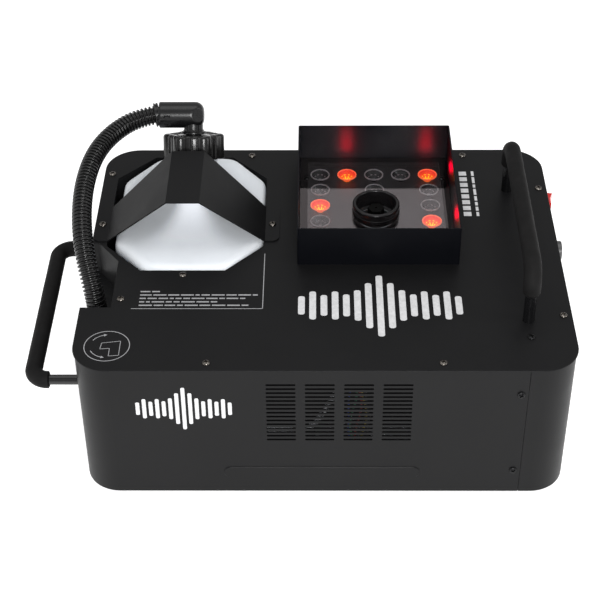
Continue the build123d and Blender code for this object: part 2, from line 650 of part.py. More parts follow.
# ---------------------------------------------------------------- elbow
ELBOW_AT = CAP_H / 2 + ELBOW_AXIS_RISE
elbow_centre = on_neck(ELBOW_AT).origin
BARREL_END = HOSE_START[0]
barrel_plane = Plane(
    (CASE_X + BARREL_END, elbow_centre.Y, elbow_centre.Z), x_dir=(0, 1, 0), z_dir=(1, 0, 0)
)
with BuildPart() as elbow_body:
    with BuildSketch(barrel_plane):
        Circle(ELBOW_BARREL_D / 2)
    extrude(amount=ELBOW_BARREL_L)
    fillet(elbow_body.edges().sort_by(Axis.X)[-1], ELBOW_BARREL_D * 0.3)
    chamfer(elbow_body.edges().filter_by(GeomType.CIRCLE).sort_by(Axis.X)[0], 1.0)
    with BuildSketch(on_neck(CAP_H / 2 + FIT)):
        Circle(ELBOW_LEG_D / 2)
    extrude(amount=ELBOW_AXIS_RISE)
    with BuildSketch(on_neck(CAP_H / 2 + FIT)):
        Circle(ELBOW_FLANGE_D / 2)
    extrude(amount=ELBOW_FLANGE_H)
    with BuildSketch(on_neck(CAP_H / 2 + FIT)):
        Circle(ELBOW_SHANK_D / 2)
    extrude(amount=-CAP_ROOF - SEAL_T - 8.0)
    with BuildSketch(on_neck(CAP_H / 2 - CAP_ROOF - SEAL_T - 8.0)):
        Circle(SUCTION_D / 2 + FIT / 2)
    extrude(amount=ELBOW_AXIS_RISE + CAP_ROOF + SEAL_T + 8.0, mode=Mode.SUBTRACT)
    with BuildSketch(barrel_plane):
        Circle(SUCTION_BORE / 2 + 1.0)
    extrude(amount=BARREL_END * -1 + TANK_X + 2.0, mode=Mode.SUBTRACT)
    with BuildSketch(barrel_plane.offset(6.0)):
        with Locations((-ELBOW_BARREL_D / 2, 3.0)):
            Rectangle(7.0, 12.0)
            Rectangle(5.0, 10.0, mode=Mode.SUBTRACT)
    extrude(amount=LATCH_W, mode=Mode.SUBTRACT)
save(elbow_body.part, "elbow_body")

with BuildPart() as suction_tube:
    with BuildSketch(on_neck(ELBOW_AT - 6.0)):
        Circle(SUCTION_D / 2)
        Circle(SUCTION_BORE / 2, mode=Mode.SUBTRACT)
    extrude(amount=-SUCTION_REACH)
    with BuildSketch(on_neck(ELBOW_AT - 6.0 - SUCTION_REACH)):
        Circle(SUCTION_D / 2 + 4.0)
    extrude(amount=-16.0)
save(suction_tube.part, "suction_tube")

# ---------------------------------------------------------------- hose
hose_points = at_case(HOSE_ROUTE)
hose_radii = run_radii(hose_points)
hose_part = tube(hose_points, hose_radii, HOSE_D)
print("hose radii", [round(r, 1) for r in hose_radii], "mm, diameter", HOSE_D)
hose_length = hose_part.volume / (3.14159265 * HOSE_D**2 / 4)
print("hose length", round(hose_length, 1), "mm by volume")
save(hose_part, "hose")

first_run = Vector(*hose_points[1]) - Vector(*hose_points[0])
with BuildPart() as hose_collar:
    with BuildSketch(Plane(hose_points[0], z_dir=first_run).offset(0.6)):
        Circle(COLLAR_D / 2)
        Circle(HOSE_D / 2, mode=Mode.SUBTRACT)
    extrude(amount=COLLAR_L)
save(hose_collar.part, "hose_collar")

with BuildPart() as hose_gland:
    with BuildSketch(level(RECESS_FLOOR, HOSE_END[0], HOSE_END[1])):
        Circle(GLAND_D / 2)
    extrude(amount=GLAND_H)
    chamfer(hose_gland.edges().group_by(Axis.Z)[-1], 0.8)
    with BuildSketch(level(HOSE_END[2], HOSE_END[0], HOSE_END[1])):
        Circle(HOSE_D / 2)
    extrude(amount=GLAND_H, mode=Mode.SUBTRACT)
    with BuildSketch(level(RECESS_FLOOR, HOSE_END[0], HOSE_END[1])):
        Circle(GLAND_SHANK_D / 2)
    extrude(amount=-THIN - 8.0)
    with BuildSketch(level(RECESS_FLOOR - THIN, HOSE_END[0], HOSE_END[1])):
        RegularPolygon(GLAND_NUT_D / 2, 6, major_radius=False, rotation=30)
    extrude(amount=-5.0)
    with BuildSketch(level(RECESS_FLOOR - THIN - 8.0, HOSE_END[0], HOSE_END[1])):
        Circle(LINE_D / 2)
    extrude(amount=GLAND_H + 20.0, mode=Mode.SUBTRACT)
save(hose_gland.part, "hose_gland")

# ---------------------------------------------------------------- tank guard
guard_points = [
    (GUARD_X - GUARD_SPAN / 2 - GUARD_FLANGE, TOP + SHEET),
    (GUARD_X - GUARD_SPAN / 2, TOP + SHEET),
    (GUARD_X - GUARD_TOP_W / 2, TOP + GUARD_H),
    (GUARD_X + GUARD_TOP_W / 2, TOP + GUARD_H),
    (GUARD_X + GUARD_SPAN / 2, TOP + SHEET),
    (GUARD_X + GUARD_SPAN / 2 + GUARD_FLANGE, TOP + SHEET),
]
with BuildPart() as tank_guard:
    with BuildSketch(facing_front(FRONT + GUARD_TOP_FRONT)):
        Polygon(*sheet_section(guard_points, SHEET), align=None)
    extrude(amount=GUARD_TOP_FRONT - GUARD_TOP_BACK)
    with BuildSketch(facing_right(GUARD_X - GUARD_SPAN)):
        Polygon(
            (FRONT + GUARD_FOOT_FRONT, TOP - 1.0), (FRONT + GUARD_FOOT_BACK, TOP - 1.0),
            (FRONT + GUARD_FOOT_BACK, TOP + SHEET), (FRONT + GUARD_TOP_BACK, TOP + GUARD_H + 1.0),
            (FRONT + GUARD_TOP_FRONT, TOP + GUARD_H + 1.0), (FRONT + GUARD_FOOT_FRONT, TOP + SHEET),
            align=None,
        )
    extrude(amount=2 * GUARD_SPAN, mode=Mode.INTERSECT)
    guard_corners = tank_guard.edges().filter_by(Axis.Z).filter_by(lambda e: abs(e.length - SHEET) < 0.2)
    fillet(guard_corners, GUARD_CORNER_R)
    with BuildSketch(level(TOP)):
        with Locations(*GUARD_SCREWS):
            Circle(BOLT_HOLE_R)
    extrude(amount=2 * SHEET, mode=Mode.SUBTRACT)
save(tank_guard.part, "tank_guard")

# ---------------------------------------------------------------- LED head
with BuildPart() as led_shroud:
    with BuildSketch(level(TOP, HEAD_X, HEAD_Y)):
        RectangleRounded(HEAD_W, HEAD_L, 2.0)
        Rectangle(HEAD_W - 2 * SHEET, HEAD_L - 2 * SHEET, mode=Mode.SUBTRACT)
    extrude(amount=HEAD_H)
    with BuildSketch(level(TOP, HEAD_X, HEAD_Y)):
        Rectangle(HEAD_W - 2 * SHEET, HEAD_L - 2 * SHEET)
        Rectangle(HEAD_W - 2 * SHEET - 2 * HEAD_LIP, HEAD_L - 2 * SHEET - 2 * HEAD_LIP, mode=Mode.SUBTRACT)
        with Locations(*[(x - HEAD_X, y - HEAD_Y) for x, y in WINDOW_SCREWS]):
            Circle(1.6, mode=Mode.SUBTRACT)
    extrude(amount=SHEET)
save(led_shroud.part, "led_shroud")

with BuildPart() as led_window:
    with BuildSketch(level(WINDOW_Z, HEAD_X, HEAD_Y)):
        Rectangle(HEAD_W - 2 * SHEET - 2 * FIT, HEAD_L - 2 * SHEET - 2 * FIT)
        with Locations((0, NOZZLE_Y - HEAD_Y)):
            Circle(NOZZLE_D / 2 - 3.0 + FIT, mode=Mode.SUBTRACT)
        with Locations(*[(x - HEAD_X, y - HEAD_Y) for x, y in WINDOW_SCREWS]):
            Circle(1.6, mode=Mode.SUBTRACT)
    extrude(amount=WINDOW_T)
save(led_window.part, "led_window")

LED_ROW_0 = FRONT + HEAD_FRONT + LED_FRONT_ROW
led_places = []
for row in range(LED_ROWS):
    for column in range(LED_COLUMNS):
        full_row = row in (0, 1, LED_ROWS - 1)
        edge = column in (0, LED_COLUMNS - 1)
        behind_ring = row == LED_ROWS - 2 and column == LED_COLUMNS // 2
        if full_row or edge or behind_ring:
            across = (column - (LED_COLUMNS - 1) / 2) * LED_PITCH_X
            led_places.append((HEAD_X + across, LED_ROW_0 + row * LED_PITCH_Y))
BOARD_W = HEAD_W - 6.0
BOARD_L = HEAD_L - 6.0
with BuildPart() as led_board:
    with BuildSketch(level(BOARD_Z - BOARD_T, HEAD_X, HEAD_Y)):
        Rectangle(BOARD_W, BOARD_L)
        with Locations((0, NOZZLE_Y - HEAD_Y)):
            Circle(NOZZLE_D / 2 - 2.0, mode=Mode.SUBTRACT)
    extrude(amount=BOARD_T)
    with BuildSketch(level(BOARD_Z, HEAD_X, HEAD_Y)):
        with GridLocations(HEAD_OPEN_W - 8.0, HEAD_OPEN_L - 8.0, 2, 2):
            Circle(2.5)
    extrude(amount=TOP - BOARD_Z)
save(led_board.part, "led_board")

with BuildPart() as led_lenses:
    with BuildSketch(level(BOARD_Z)):
        with Locations(*led_places):
            Circle(LED_D / 2)
    extrude(amount=LED_H, taper=-6)
save(led_lenses.part, "led_lenses")
print("LED places", len(led_places))

# ---------------------------------------------------------------- nozzle
RING_Z = WINDOW_Z + WINDOW_T
with BuildPart() as nozzle_ring:
    with BuildSketch(facing_front(NOZZLE_Y, HEAD_X)):
        with BuildLine():
            Polyline(
                (NOZZLE_BORE / 2, RING_Z - WINDOW_T - 4.0),
                (NOZZLE_D / 2 - 3.0, RING_Z - WINDOW_T - 4.0),
                (NOZZLE_D / 2 - 3.0, RING_Z),
                (NOZZLE_D / 2, RING_Z),
                (NOZZLE_D / 2, RING_Z + NOZZLE_H * 0.45),
                (NOZZLE_D / 2 - NOZZLE_GROOVE, RING_Z + NOZZLE_H * 0.5),
                (NOZZLE_D / 2 - NOZZLE_GROOVE, RING_Z + NOZZLE_H * 0.58),
                (NOZZLE_D / 2 - 0.4, RING_Z + NOZZLE_H * 0.64),
                (NOZZLE_D / 2 - 0.4, RING_Z + NOZZLE_H - 1.5),
                (NOZZLE_D / 2 - NOZZLE_STEP, RING_Z + NOZZLE_H),
                (NOZZLE_BORE / 2 + 0.8, RING_Z + NOZZLE_H),
                (NOZZLE_BORE / 2, RING_Z + NOZZLE_H - 1.0),
                close=True,
            )
        make_face()
    revolve(axis=Axis((CASE_X + HEAD_X, NOZZLE_Y, 0), (0, 0, 1)))
save(nozzle_ring.part, "nozzle_ring")

with BuildPart() as nozzle_pipe:
    with BuildSketch(level(HEATER_TOP, HEAD_X, NOZZLE_Y)):
        Circle(PIPE_D / 2)
        Circle(PIPE_BORE / 2, mode=Mode.SUBTRACT)
    extrude(amount=TOP - HEATER_TOP)
    with BuildSketch(level(TOP, HEAD_X, NOZZLE_Y)):
        RegularPolygon(TIP_D / 2, 6)
        Circle(TIP_BORE / 2, mode=Mode.SUBTRACT)
    extrude(amount=TIP_H)
save(nozzle_pipe.part, "nozzle_pipe")

SHIELD_Z = HEATER_TOP + JACKET_T
with BuildPart() as heat_shield:
    with BuildSketch(level(SHIELD_Z, HEAD_X, NOZZLE_Y)):
        Circle(SHIELD_D / 2)
        Circle(SHIELD_D / 2 - THIN, mode=Mode.SUBTRACT)
    extrude(amount=TOP - 6.0 - SHIELD_Z)
    with BuildSketch(level(SHIELD_Z, HEAD_X, NOZZLE_Y)):
        Circle(SHIELD_D / 2)
        Circle(PIPE_D / 2 + 1.0, mode=Mode.SUBTRACT)
    extrude(amount=THIN)
save(heat_shield.part, "heat_shield")

# ---------------------------------------------------------------- heater
HEATER_BOTTOM = HEATER_TOP - HEATER_H
with BuildPart() as heater_block:
    with BuildSketch(level(HEATER_BOTTOM, HEAD_X, NOZZLE_Y)):
        RectangleRounded(HEATER_W, HEATER_L, 6.0)
    extrude(amount=HEATER_H)
    with BuildSketch(facing_front(NOZZLE_Y - HEATER_L / 2, HEAD_X, HEATER_BOTTOM + HEATER_H / 2)):
        with GridLocations(HEATER_W / 2, 1.0, 2, 1):
            Circle(ELEMENT_D / 2)
    extrude(amount=-HEATER_L, mode=Mode.SUBTRACT)
save(heater_block.part, "heater_block")

with BuildPart() as heater_elements:
    with BuildSketch(
        facing_front(NOZZLE_Y - HEATER_L / 2 - JACKET_T - 6.0, HEAD_X, HEATER_BOTTOM + HEATER_H / 2)
    ):
        with GridLocations(HEATER_W / 2, 1.0, 2, 1):
            Circle(ELEMENT_D / 2)
    extrude(amount=-HEATER_L - JACKET_T - 6.0)
save(heater_elements.part, "heater_elements")

with BuildPart() as heater_jacket:
    with BuildSketch(level(HEATER_BOTTOM - JACKET_T, HEAD_X, NOZZLE_Y)):
        RectangleRounded(HEATER_W + 2 * JACKET_T, HEATER_L + 2 * JACKET_T, 8.0)
    extrude(amount=HEATER_H + 2 * JACKET_T)
    with BuildSketch(level(HEATER_BOTTOM, HEAD_X, NOZZLE_Y)):
        RectangleRounded(HEATER_W, HEATER_L, 6.0)
    extrude(amount=HEATER_H, mode=Mode.SUBTRACT)
    with BuildSketch(level(HEATER_TOP, HEAD_X, NOZZLE_Y)):
        Circle(PIPE_D / 2 + FIT)
    extrude(amount=JACKET_T, mode=Mode.SUBTRACT)
    with BuildSketch(
        facing_front(NOZZLE_Y - HEATER_L / 2 - JACKET_T, HEAD_X, HEATER_BOTTOM + HEATER_H / 2)
    ):
        with GridLocations(HEATER_W / 2, 1.0, 2, 1):
            Circle(ELEMENT_D / 2 + FIT)
        Circle(LINE_D / 2 + FIT)
    extrude(amount=-JACKET_T, mode=Mode.SUBTRACT)
save(heater_jacket.part, "heater_jacket")

BRACKET_W = HEATER_W + 2 * JACKET_T - 20.0
BRACKET_TOP = HEATER_BOTTOM - JACKET_T
with BuildPart() as heater_bracket:
    with BuildSketch(facing_front(NOZZLE_Y - 30.0, HEAD_X)):
        Polygon(
            *sheet_section(
                [
                    (-BRACKET_W / 2 - 14.0, PAN_TOP + SHEET), (-BRACKET_W / 2, PAN_TOP + SHEET),
                    (-BRACKET_W / 2, BRACKET_TOP), (BRACKET_W / 2, BRACKET_TOP),
                    (BRACKET_W / 2, PAN_TOP + SHEET), (BRACKET_W / 2 + 14.0, PAN_TOP + SHEET),
                ],
                SHEET,
            ),
            align=None,
        )
    extrude(amount=-60.0)
save(heater_bracket.part, "heater_bracket")

with BuildPart() as thermostat:
    with BuildSketch(
        facing_front(NOZZLE_Y - HEATER_L / 2 - JACKET_T, HEAD_X + 16.0, HEATER_BOTTOM + HEATER_H / 2)
    ):
        Circle(8.0)
    extrude(amount=5.0)
    with BuildSketch(
        facing_front(NOZZLE_Y - HEATER_L / 2 - JACKET_T - 5.0, HEAD_X + 16.0, HEATER_BOTTOM + HEATER_H / 2)
    ):
        Rectangle(10.0, 3.0)
    extrude(amount=6.0)
save(thermostat.part, "thermostat")

# ---------------------------------------------------------------- pump
coil_mid = facing_right(PUMP_X, PUMP_Y, PUMP_AXIS_Z)
with BuildPart() as pump_coil:
    with BuildSketch(coil_mid.offset(-PUMP_COIL_L / 2)):
        Circle(PUMP_COIL_D / 2)
        Circle(PUMP_TUBE_D / 2, mode=Mode.SUBTRACT)
    extrude(amount=PUMP_COIL_L)
save(pump_coil.part, "pump_coil")

with BuildPart() as pump_body:
    with BuildSketch(coil_mid.offset(-PUMP_COIL_L / 2 - 18.0)):
        Circle(PUMP_TUBE_D / 2)
    extrude(amount=PUMP_COIL_L + 36.0)
    with BuildSketch(coil_mid.offset(-PUMP_COIL_L / 2 + 2.0)):
        Circle(PLUNGER_D / 2 + 0.05)
    extrude(amount=PUMP_COIL_L - 4.0, mode=Mode.SUBTRACT)
    with BuildSketch(coil_mid.offset(-PUMP_COIL_L / 2 - 18.0)):
        Circle(1.5)
    extrude(amount=PUMP_COIL_L + 36.0, mode=Mode.SUBTRACT)
save(pump_body.part, "pump_body")

with BuildPart() as pump_plunger:
    with BuildSketch(coil_mid.offset(-PUMP_COIL_L / 2 + 7.0)):
        Circle(PLUNGER_D / 2)
    extrude(amount=PUMP_COIL_L - 20.0)
save(pump_plunger.part, "pump_plunger")

with BuildPart() as pump_frame:
    with BuildSketch(facing_front(PUMP_Y - 24.0, PUMP_X)):
        Polygon(
            (-PUMP_COIL_L / 2 - SHEET, PAN_TOP), (PUMP_COIL_L / 2 + SHEET, PAN_TOP),
            (PUMP_COIL_L / 2 + SHEET, PUMP_AXIS_Z + 26.0), (PUMP_COIL_L / 2, PUMP_AXIS_Z + 26.0),
            (PUMP_COIL_L / 2, PAN_TOP + SHEET), (-PUMP_COIL_L / 2, PAN_TOP + SHEET),
            (-PUMP_COIL_L / 2, PUMP_AXIS_Z + 26.0), (-PUMP_COIL_L / 2 - SHEET, PUMP_AXIS_Z + 26.0),
            align=None,
        )
    extrude(amount=-48.0)
    with BuildSketch(coil_mid.offset(-PUMP_COIL_L)):
        Circle(PUMP_TUBE_D / 2)
    extrude(amount=2 * PUMP_COIL_L, mode=Mode.SUBTRACT)
save(pump_frame.part, "pump_frame")

PUMP_IN = PUMP_X - PUMP_COIL_L / 2 - 18.0
PUMP_OUT = PUMP_X + PUMP_COIL_L / 2 + 18.0
supply_points = at_case([
    (HOSE_END[0], HOSE_END[1], RECESS_FLOOR - THIN - 8.0),
    (HOSE_END[0], HOSE_END[1], 70.0),
    (HOSE_END[0], PUMP_Y, PUMP_AXIS_Z),
    (PUMP_IN, PUMP_Y, PUMP_AXIS_Z),
])
delivery_points = at_case([
    (PUMP_OUT, PUMP_Y, PUMP_AXIS_Z),
    (HEAD_X - 70.0, PUMP_Y, PUMP_AXIS_Z),
    (HEAD_X, NOZZLE_Y - HEATER_L / 2 - JACKET_T - 40.0, HEATER_BOTTOM + HEATER_H / 2),
    (HEAD_X, NOZZLE_Y - HEATER_L / 2, HEATER_BOTTOM + HEATER_H / 2),
])
lines = [tube(supply_points, [18.0, 12.0], LINE_D, 3.0)]
lines.append(tube(delivery_points, [24.0, 20.0], LINE_D, 3.0))
with BuildPart() as fluid_lines:
    add(lines)
save(fluid_lines.part, "fluid_lines")

# ---------------------------------------------------------------- electronics
with BuildPart() as power_supply:
    with BuildSketch(level(PAN_TOP, 45.0, -144.0)):
        RectangleRounded(110.0, 64.0, 1.5)
    extrude(amount=32.0)
    with BuildSketch(level(PAN_TOP + 32.0, 45.0, -144.0)):
        with GridLocations(7.0, 10.0, 12, 5):
            Circle(2.2)
    extrude(amount=-2.0, mode=Mode.SUBTRACT)
save(power_supply.part, "power_supply")

BOARD_TOP = PAN_TOP + 8.0 + BOARD_T
with BuildPart() as main_board:
    with BuildSketch(level(PAN_TOP + 8.0, 172.0, -100.0)):
        Rectangle(92.0, 120.0)
    extrude(amount=BOARD_T)
    with BuildSketch(level(PAN_TOP, 172.0, -100.0)):
        with GridLocations(82.0, 110.0, 2, 2):
            Circle(3.0)
    extrude(amount=8.0)
    with BuildSketch(level(BOARD_TOP, 172.0, -100.0)):
        with Locations((-24.0, 34.0), (4.0, 34.0), (30.0, 34.0)):
            Circle(9.0)
        with Locations((-20.0, -10.0)):
            Rectangle(34.0, 26.0)
        with Locations((24.0, -6.0), (24.0, -34.0)):
            Rectangle(20.0, 18.0)
    extrude(amount=18.0)
save(main_board.part, "main_board")

wire_column_x = VENT_X + VENT_PITCH_X / 2
with BuildPart() as control_wires:
    with BuildSketch(level(BOARD_TOP + 26.0, wire_column_x, FRONT + 8.5)):
        with GridLocations(5.0, 1.0, 5, 1):
            Circle(WIRE_D / 2)
    extrude(amount=96.0)
save(control_wires.part, "control_wires")

# ---------------------------------------------------------------- fan
fan_back = CASE_D / 2 - SHEET
with BuildPart() as fan_frame:
    with BuildSketch(facing_back(fan_back - FAN_DEPTH, FAN_X, FAN_Z)):
        RectangleRounded(FAN_SIZE, FAN_SIZE, 4.0)
        Circle(FAN_BORE / 2, mode=Mode.SUBTRACT)
        with GridLocations(FAN_SIZE * 0.895, FAN_SIZE * 0.895, 2, 2):
            Circle(BOLT_HOLE_R, mode=Mode.SUBTRACT)
    extrude(amount=FAN_DEPTH)
    with BuildSketch(facing_back(fan_back - FAN_DEPTH, FAN_X, FAN_Z)):
        Circle(18.0)
        with Locations(Location((0, 0, 0), (0, 0, 45)), Location((0, 0, 0), (0, 0, -45))):
            Rectangle(FAN_BORE + 4.0, 4.0)
    extrude(amount=3.0)
    with BuildSketch(facing_back(fan_back - FAN_DEPTH + 3.0, FAN_X, FAN_Z)):
        Circle(FAN_SHAFT_D / 2)
    extrude(amount=12.0)
save(fan_frame.part, "fan_frame")

with BuildPart() as fan_rotor:
    with BuildSketch(facing_back(fan_back - FAN_DEPTH + 5.0, FAN_X, FAN_Z)):
        Circle(17.0)
        with PolarLocations(26.0, 7):
            Rectangle(21.0, 12.0)
    extrude(amount=16.0)
    with BuildSketch(facing_back(fan_back - FAN_DEPTH + 5.0, FAN_X, FAN_Z)):
        Circle(FAN_SHAFT_D / 2 + 0.05)
    extrude(amount=12.0, mode=Mode.SUBTRACT)
save(fan_rotor.part, "fan_rotor")

# ---------------------------------------------------------------- handles
side_z = TOP - SIDE_BAR_DROP
side_inner = -INSIDE_X + HANDLE_NUT_H + 0.8
side_route = at_case([
    (side_inner, FRONT + SIDE_LEG_FRONT, side_z),
    (SIDE_BAR_X, FRONT + SIDE_LEG_FRONT, side_z),
    (SIDE_BAR_X, FRONT + SIDE_LEG_BACK, side_z),
    (side_inner, FRONT + SIDE_LEG_BACK, side_z),
])
save(tube(side_route, [SIDE_BEND_R] * 2, SIDE_ROD_D), "side_handle_rod")
side_grip_route = at_case([
    (SIDE_BAR_X + SIDE_GRIP_END, FRONT + SIDE_LEG_FRONT, side_z),
    (SIDE_BAR_X, FRONT + SIDE_LEG_FRONT, side_z),
    (SIDE_BAR_X, FRONT + SIDE_LEG_BACK, side_z),
    (SIDE_BAR_X + SIDE_GRIP_END, FRONT + SIDE_LEG_BACK, side_z),
])
save(tube(side_grip_route, [SIDE_BEND_R] * 2, GRIP_D, SIDE_ROD_D), "side_handle_grip")

bar_z = TOP + TOP_BAR_H
top_foot = DECK - HANDLE_NUT_H - 0.8
top_route = at_case([
    (TOP_BAR_X, FRONT + TOP_LEG_FRONT, top_foot),
    (TOP_BAR_X, FRONT + TOP_LEG_FRONT, bar_z),
    (TOP_BAR_X, FRONT + TOP_LEG_BACK, bar_z),
    (TOP_BAR_X, FRONT + TOP_LEG_BACK, top_foot),
])
save(tube(top_route, [TOP_BEND_R] * 2, TOP_ROD_D), "top_handle_rod")
top_grip_route = at_case([
    (TOP_BAR_X, FRONT + TOP_LEG_FRONT, bar_z - TOP_GRIP_END),
    (TOP_BAR_X, FRONT + TOP_LEG_FRONT, bar_z),
    (TOP_BAR_X, FRONT + TOP_LEG_BACK, bar_z),
    (TOP_BAR_X, FRONT + TOP_LEG_BACK, bar_z - TOP_GRIP_END),
])
save(tube(top_grip_route, [TOP_BEND_R] * 2, GRIP_D, TOP_ROD_D), "top_handle_grip")

with BuildPart() as handle_nuts:
    for leg in (SIDE_LEG_FRONT, SIDE_LEG_BACK):
        with BuildSketch(facing_right(-INSIDE_X, FRONT + leg, side_z)):
            RegularPolygon(HANDLE_NUT_D / 2, 6)
            Circle(SIDE_ROD_D / 2, mode=Mode.SUBTRACT)
        extrude(amount=HANDLE_NUT_H)
    for leg in (TOP_LEG_FRONT, TOP_LEG_BACK):
        with BuildSketch(level(DECK, TOP_BAR_X, FRONT + leg)):
            RegularPolygon(HANDLE_NUT_D / 2, 6)
            Circle(TOP_ROD_D / 2, mode=Mode.SUBTRACT)
        extrude(amount=-HANDLE_NUT_H)
save(handle_nuts.part, "handle_nuts")

# ---------------------------------------------------------------- screws
top_screw_list = [bolt(level(TOP, x, y), 6.0) for x, y in DECK_SCREWS]
top_screw_list += [bolt(level(TOP, x, y), 6.0) for x, y in HANDLE_SCREWS]
top_screw_list += [bolt(level(TOP + SHEET, x, y), 6.0) for x, y in GUARD_SCREWS]
with BuildPart() as top_screws:
    add(top_screw_list)
save(top_screws.part, "top_screws")

seam_screw_list = []
for z in SEAM_SCREW_Z:
    seam_screw_list.append(bolt(facing_front(FRONT + OVERHANG, SEAM_SCREW_X, z), 6.0))
    seam_screw_list.append(bolt(facing_back(BACK - OVERHANG, SEAM_SCREW_X, z), 6.0))
for x in (-1, 1):
    for z in (-1, 1):
        at_x = FAN_X + x * FAN_SIZE * 0.4475
        at_z = FAN_Z + z * FAN_SIZE * 0.4475
        seam_screw_list.append(bolt(facing_back(BACK - OVERHANG, at_x, at_z), 12.0))
for x, y in FOOT_PLACES:
    foot_recess = Plane((CASE_X + x, y, FOOT_H / 2), x_dir=(1, 0, 0), z_dir=(0, 0, -1))
    seam_screw_list.append(bolt(foot_recess, FOOT_H / 2 + SHEET + 3.0))
with BuildPart() as case_screws:
    add(seam_screw_list)
save(case_screws.part, "case_screws")

window_screw_list = [bolt(level(WINDOW_Z + WINDOW_T, x, y), 6.0, 6.0, 3.0) for x, y in WINDOW_SCREWS]
with BuildPart() as window_screws:
    add(window_screw_list)
save(window_screws.part, "window_screws")

# ---------------------------------------------------------------- feet
with BuildPart() as rubber_feet:
    with BuildSketch(level(0)):
        with Locations(*FOOT_PLACES):
            Circle(FOOT_D / 2 - 1.5)
    extrude(amount=FOOT_H, taper=-5)
    with BuildSketch(level(0)):
        with Locations(*FOOT_PLACES):
            Circle(BOLT_HEAD_D / 2 + 1.0)
    extrude(amount=FOOT_H / 2, mode=Mode.SUBTRACT)
    with BuildSketch(level(0)):
        with Locations(*FOOT_PLACES):
            Circle(BOLT_HOLE_R)
    extrude(amount=FOOT_H, mode=Mode.SUBTRACT)
save(rubber_feet.part, "rubber_feet")


# ---------------------------------------------------------------- power switch
switch_plane = facing_right(WALL_X, FRONT + SWITCH_Y, UPPER_ROW_Z)
with BuildPart() as switch_bezel:
    with BuildSketch(switch_plane):
        RectangleRounded(SWITCH_L + 4.0, SWITCH_W + 4.0, 2.0)
    extrude(amount=2.0)
    with BuildSketch(switch_plane):
        Rectangle(SWITCH_L, SWITCH_W)
    extrude(amount=-18.0)
    with BuildSketch(switch_plane.offset(2.0)):
        Rectangle(SWITCH_L - 4.0, SWITCH_W - 4.0)
    extrude(amount=-16.0, mode=Mode.SUBTRACT)
    with BuildSketch(level(UPPER_ROW_Z - SWITCH_W / 2 + 1.0, WALL_X, FRONT + SWITCH_Y)):
        Circle(1.5)
    extrude(amount=SWITCH_W - 2.0)
save(switch_bezel.part, "switch_bezel")

tilt = radians(ROCKER_TILT)
rocker_half = (SWITCH_L - 4.0) / 2 - 1.0
rocker_out = (SWITCH_PROUD - rocker_half * sin(tilt)) / cos(tilt)
rocker_flat = [
    (-rocker_half + 1.6, -4.0), (rocker_half - 1.6, -4.0), (rocker_half, 2.0),
    (rocker_half, rocker_out), (0.0, rocker_out - 2.2), (-rocker_half, rocker_out),
    (-rocker_half, 2.0),
]
rocker_outline = [
    (v * cos(tilt) + u * sin(tilt), u * cos(tilt) - v * sin(tilt)) for u, v in rocker_flat
]
rocker_base = UPPER_ROW_Z - SWITCH_W / 2 + 2.5
with BuildPart() as switch_rocker:
    with BuildSketch(level(rocker_base, WALL_X, FRONT + SWITCH_Y)):
        Polygon(*rocker_outline, align=None)
        Circle(1.55, mode=Mode.SUBTRACT)
    extrude(amount=SWITCH_W - 5.0)
save(switch_rocker.part, "switch_rocker")

# ---------------------------------------------------------------- sockets
remote_plane = facing_right(WALL_X, FRONT + REMOTE_Y, UPPER_ROW_Z)
with BuildPart() as remote_socket:
    with BuildSketch(remote_plane):
        Circle(REMOTE_D / 2 + 2.0)
    extrude(amount=2.0)
    with BuildSketch(remote_plane):
        Circle(REMOTE_D / 2)
    extrude(amount=REMOTE_PROUD)
    chamfer(remote_socket.edges().sort_by(Axis.X)[-1], 0.8)
    with BuildSketch(remote_plane):
        Circle(REMOTE_D / 2 - 2.0)
    extrude(amount=-14.0)
    with BuildSketch(remote_plane.offset(REMOTE_PROUD)):
        Circle(REMOTE_D / 2 - 3.0)
        with PolarLocations(4.0, 5):
            Circle(0.8, mode=Mode.SUBTRACT)
    extrude(amount=-9.0, mode=Mode.SUBTRACT)
save(remote_socket.part, "remote_socket")

inlet_plane = facing_right(WALL_X, FRONT + INLET_Y, LOWER_ROW_Z)
with BuildPart() as power_inlet:
    with BuildSketch(inlet_plane):
        RectangleRounded(INLET_W, INLET_H + 4.0, 3.0)
    extrude(amount=2.4)
    with BuildSketch(inlet_plane):
        Rectangle(28.0, INLET_H - 2.0)
    extrude(amount=-20.0)
    with BuildSketch(inlet_plane.offset(2.4)):
        Rectangle(24.4, 16.6)
        with Locations((-7.0, 0), (7.0, 0), (0, 3.0)):
            Rectangle(2.0, 4.0, mode=Mode.SUBTRACT)
    extrude(amount=-16.0, mode=Mode.SUBTRACT)
save(power_inlet.part, "power_inlet")

fuse_plane = facing_right(WALL_X, FRONT + FUSE_Y, LOWER_ROW_Z)
with BuildPart() as fuse_holder:
    with BuildSketch(fuse_plane):
        Circle(FUSE_CAP_D / 2 + 1.0)
    extrude(amount=2.0)
    with BuildSketch(fuse_plane):
        Circle(FUSE_D / 2)
    extrude(amount=-26.0)
    with BuildSketch(fuse_plane.offset(2.0)):
        Circle(3.5)
    extrude(amount=-24.0, mode=Mode.SUBTRACT)
save(fuse_holder.part, "fuse_holder")

with BuildPart() as fuse_cap:
    with BuildSketch(fuse_plane.offset(2.0 + FIT)):
        Circle(FUSE_CAP_D / 2 - 1.0)
    extrude(amount=7.0)
    with BuildSketch(fuse_plane.offset(2.0 + FIT + 7.0)):
        Rectangle(FUSE_CAP_D, 1.4)
    extrude(amount=-1.2, mode=Mode.SUBTRACT)
    with BuildSketch(fuse_plane.offset(2.0 + FIT)):
        Circle(3.4)
    extrude(amount=-18.0)
save(fuse_cap.part, "fuse_cap")

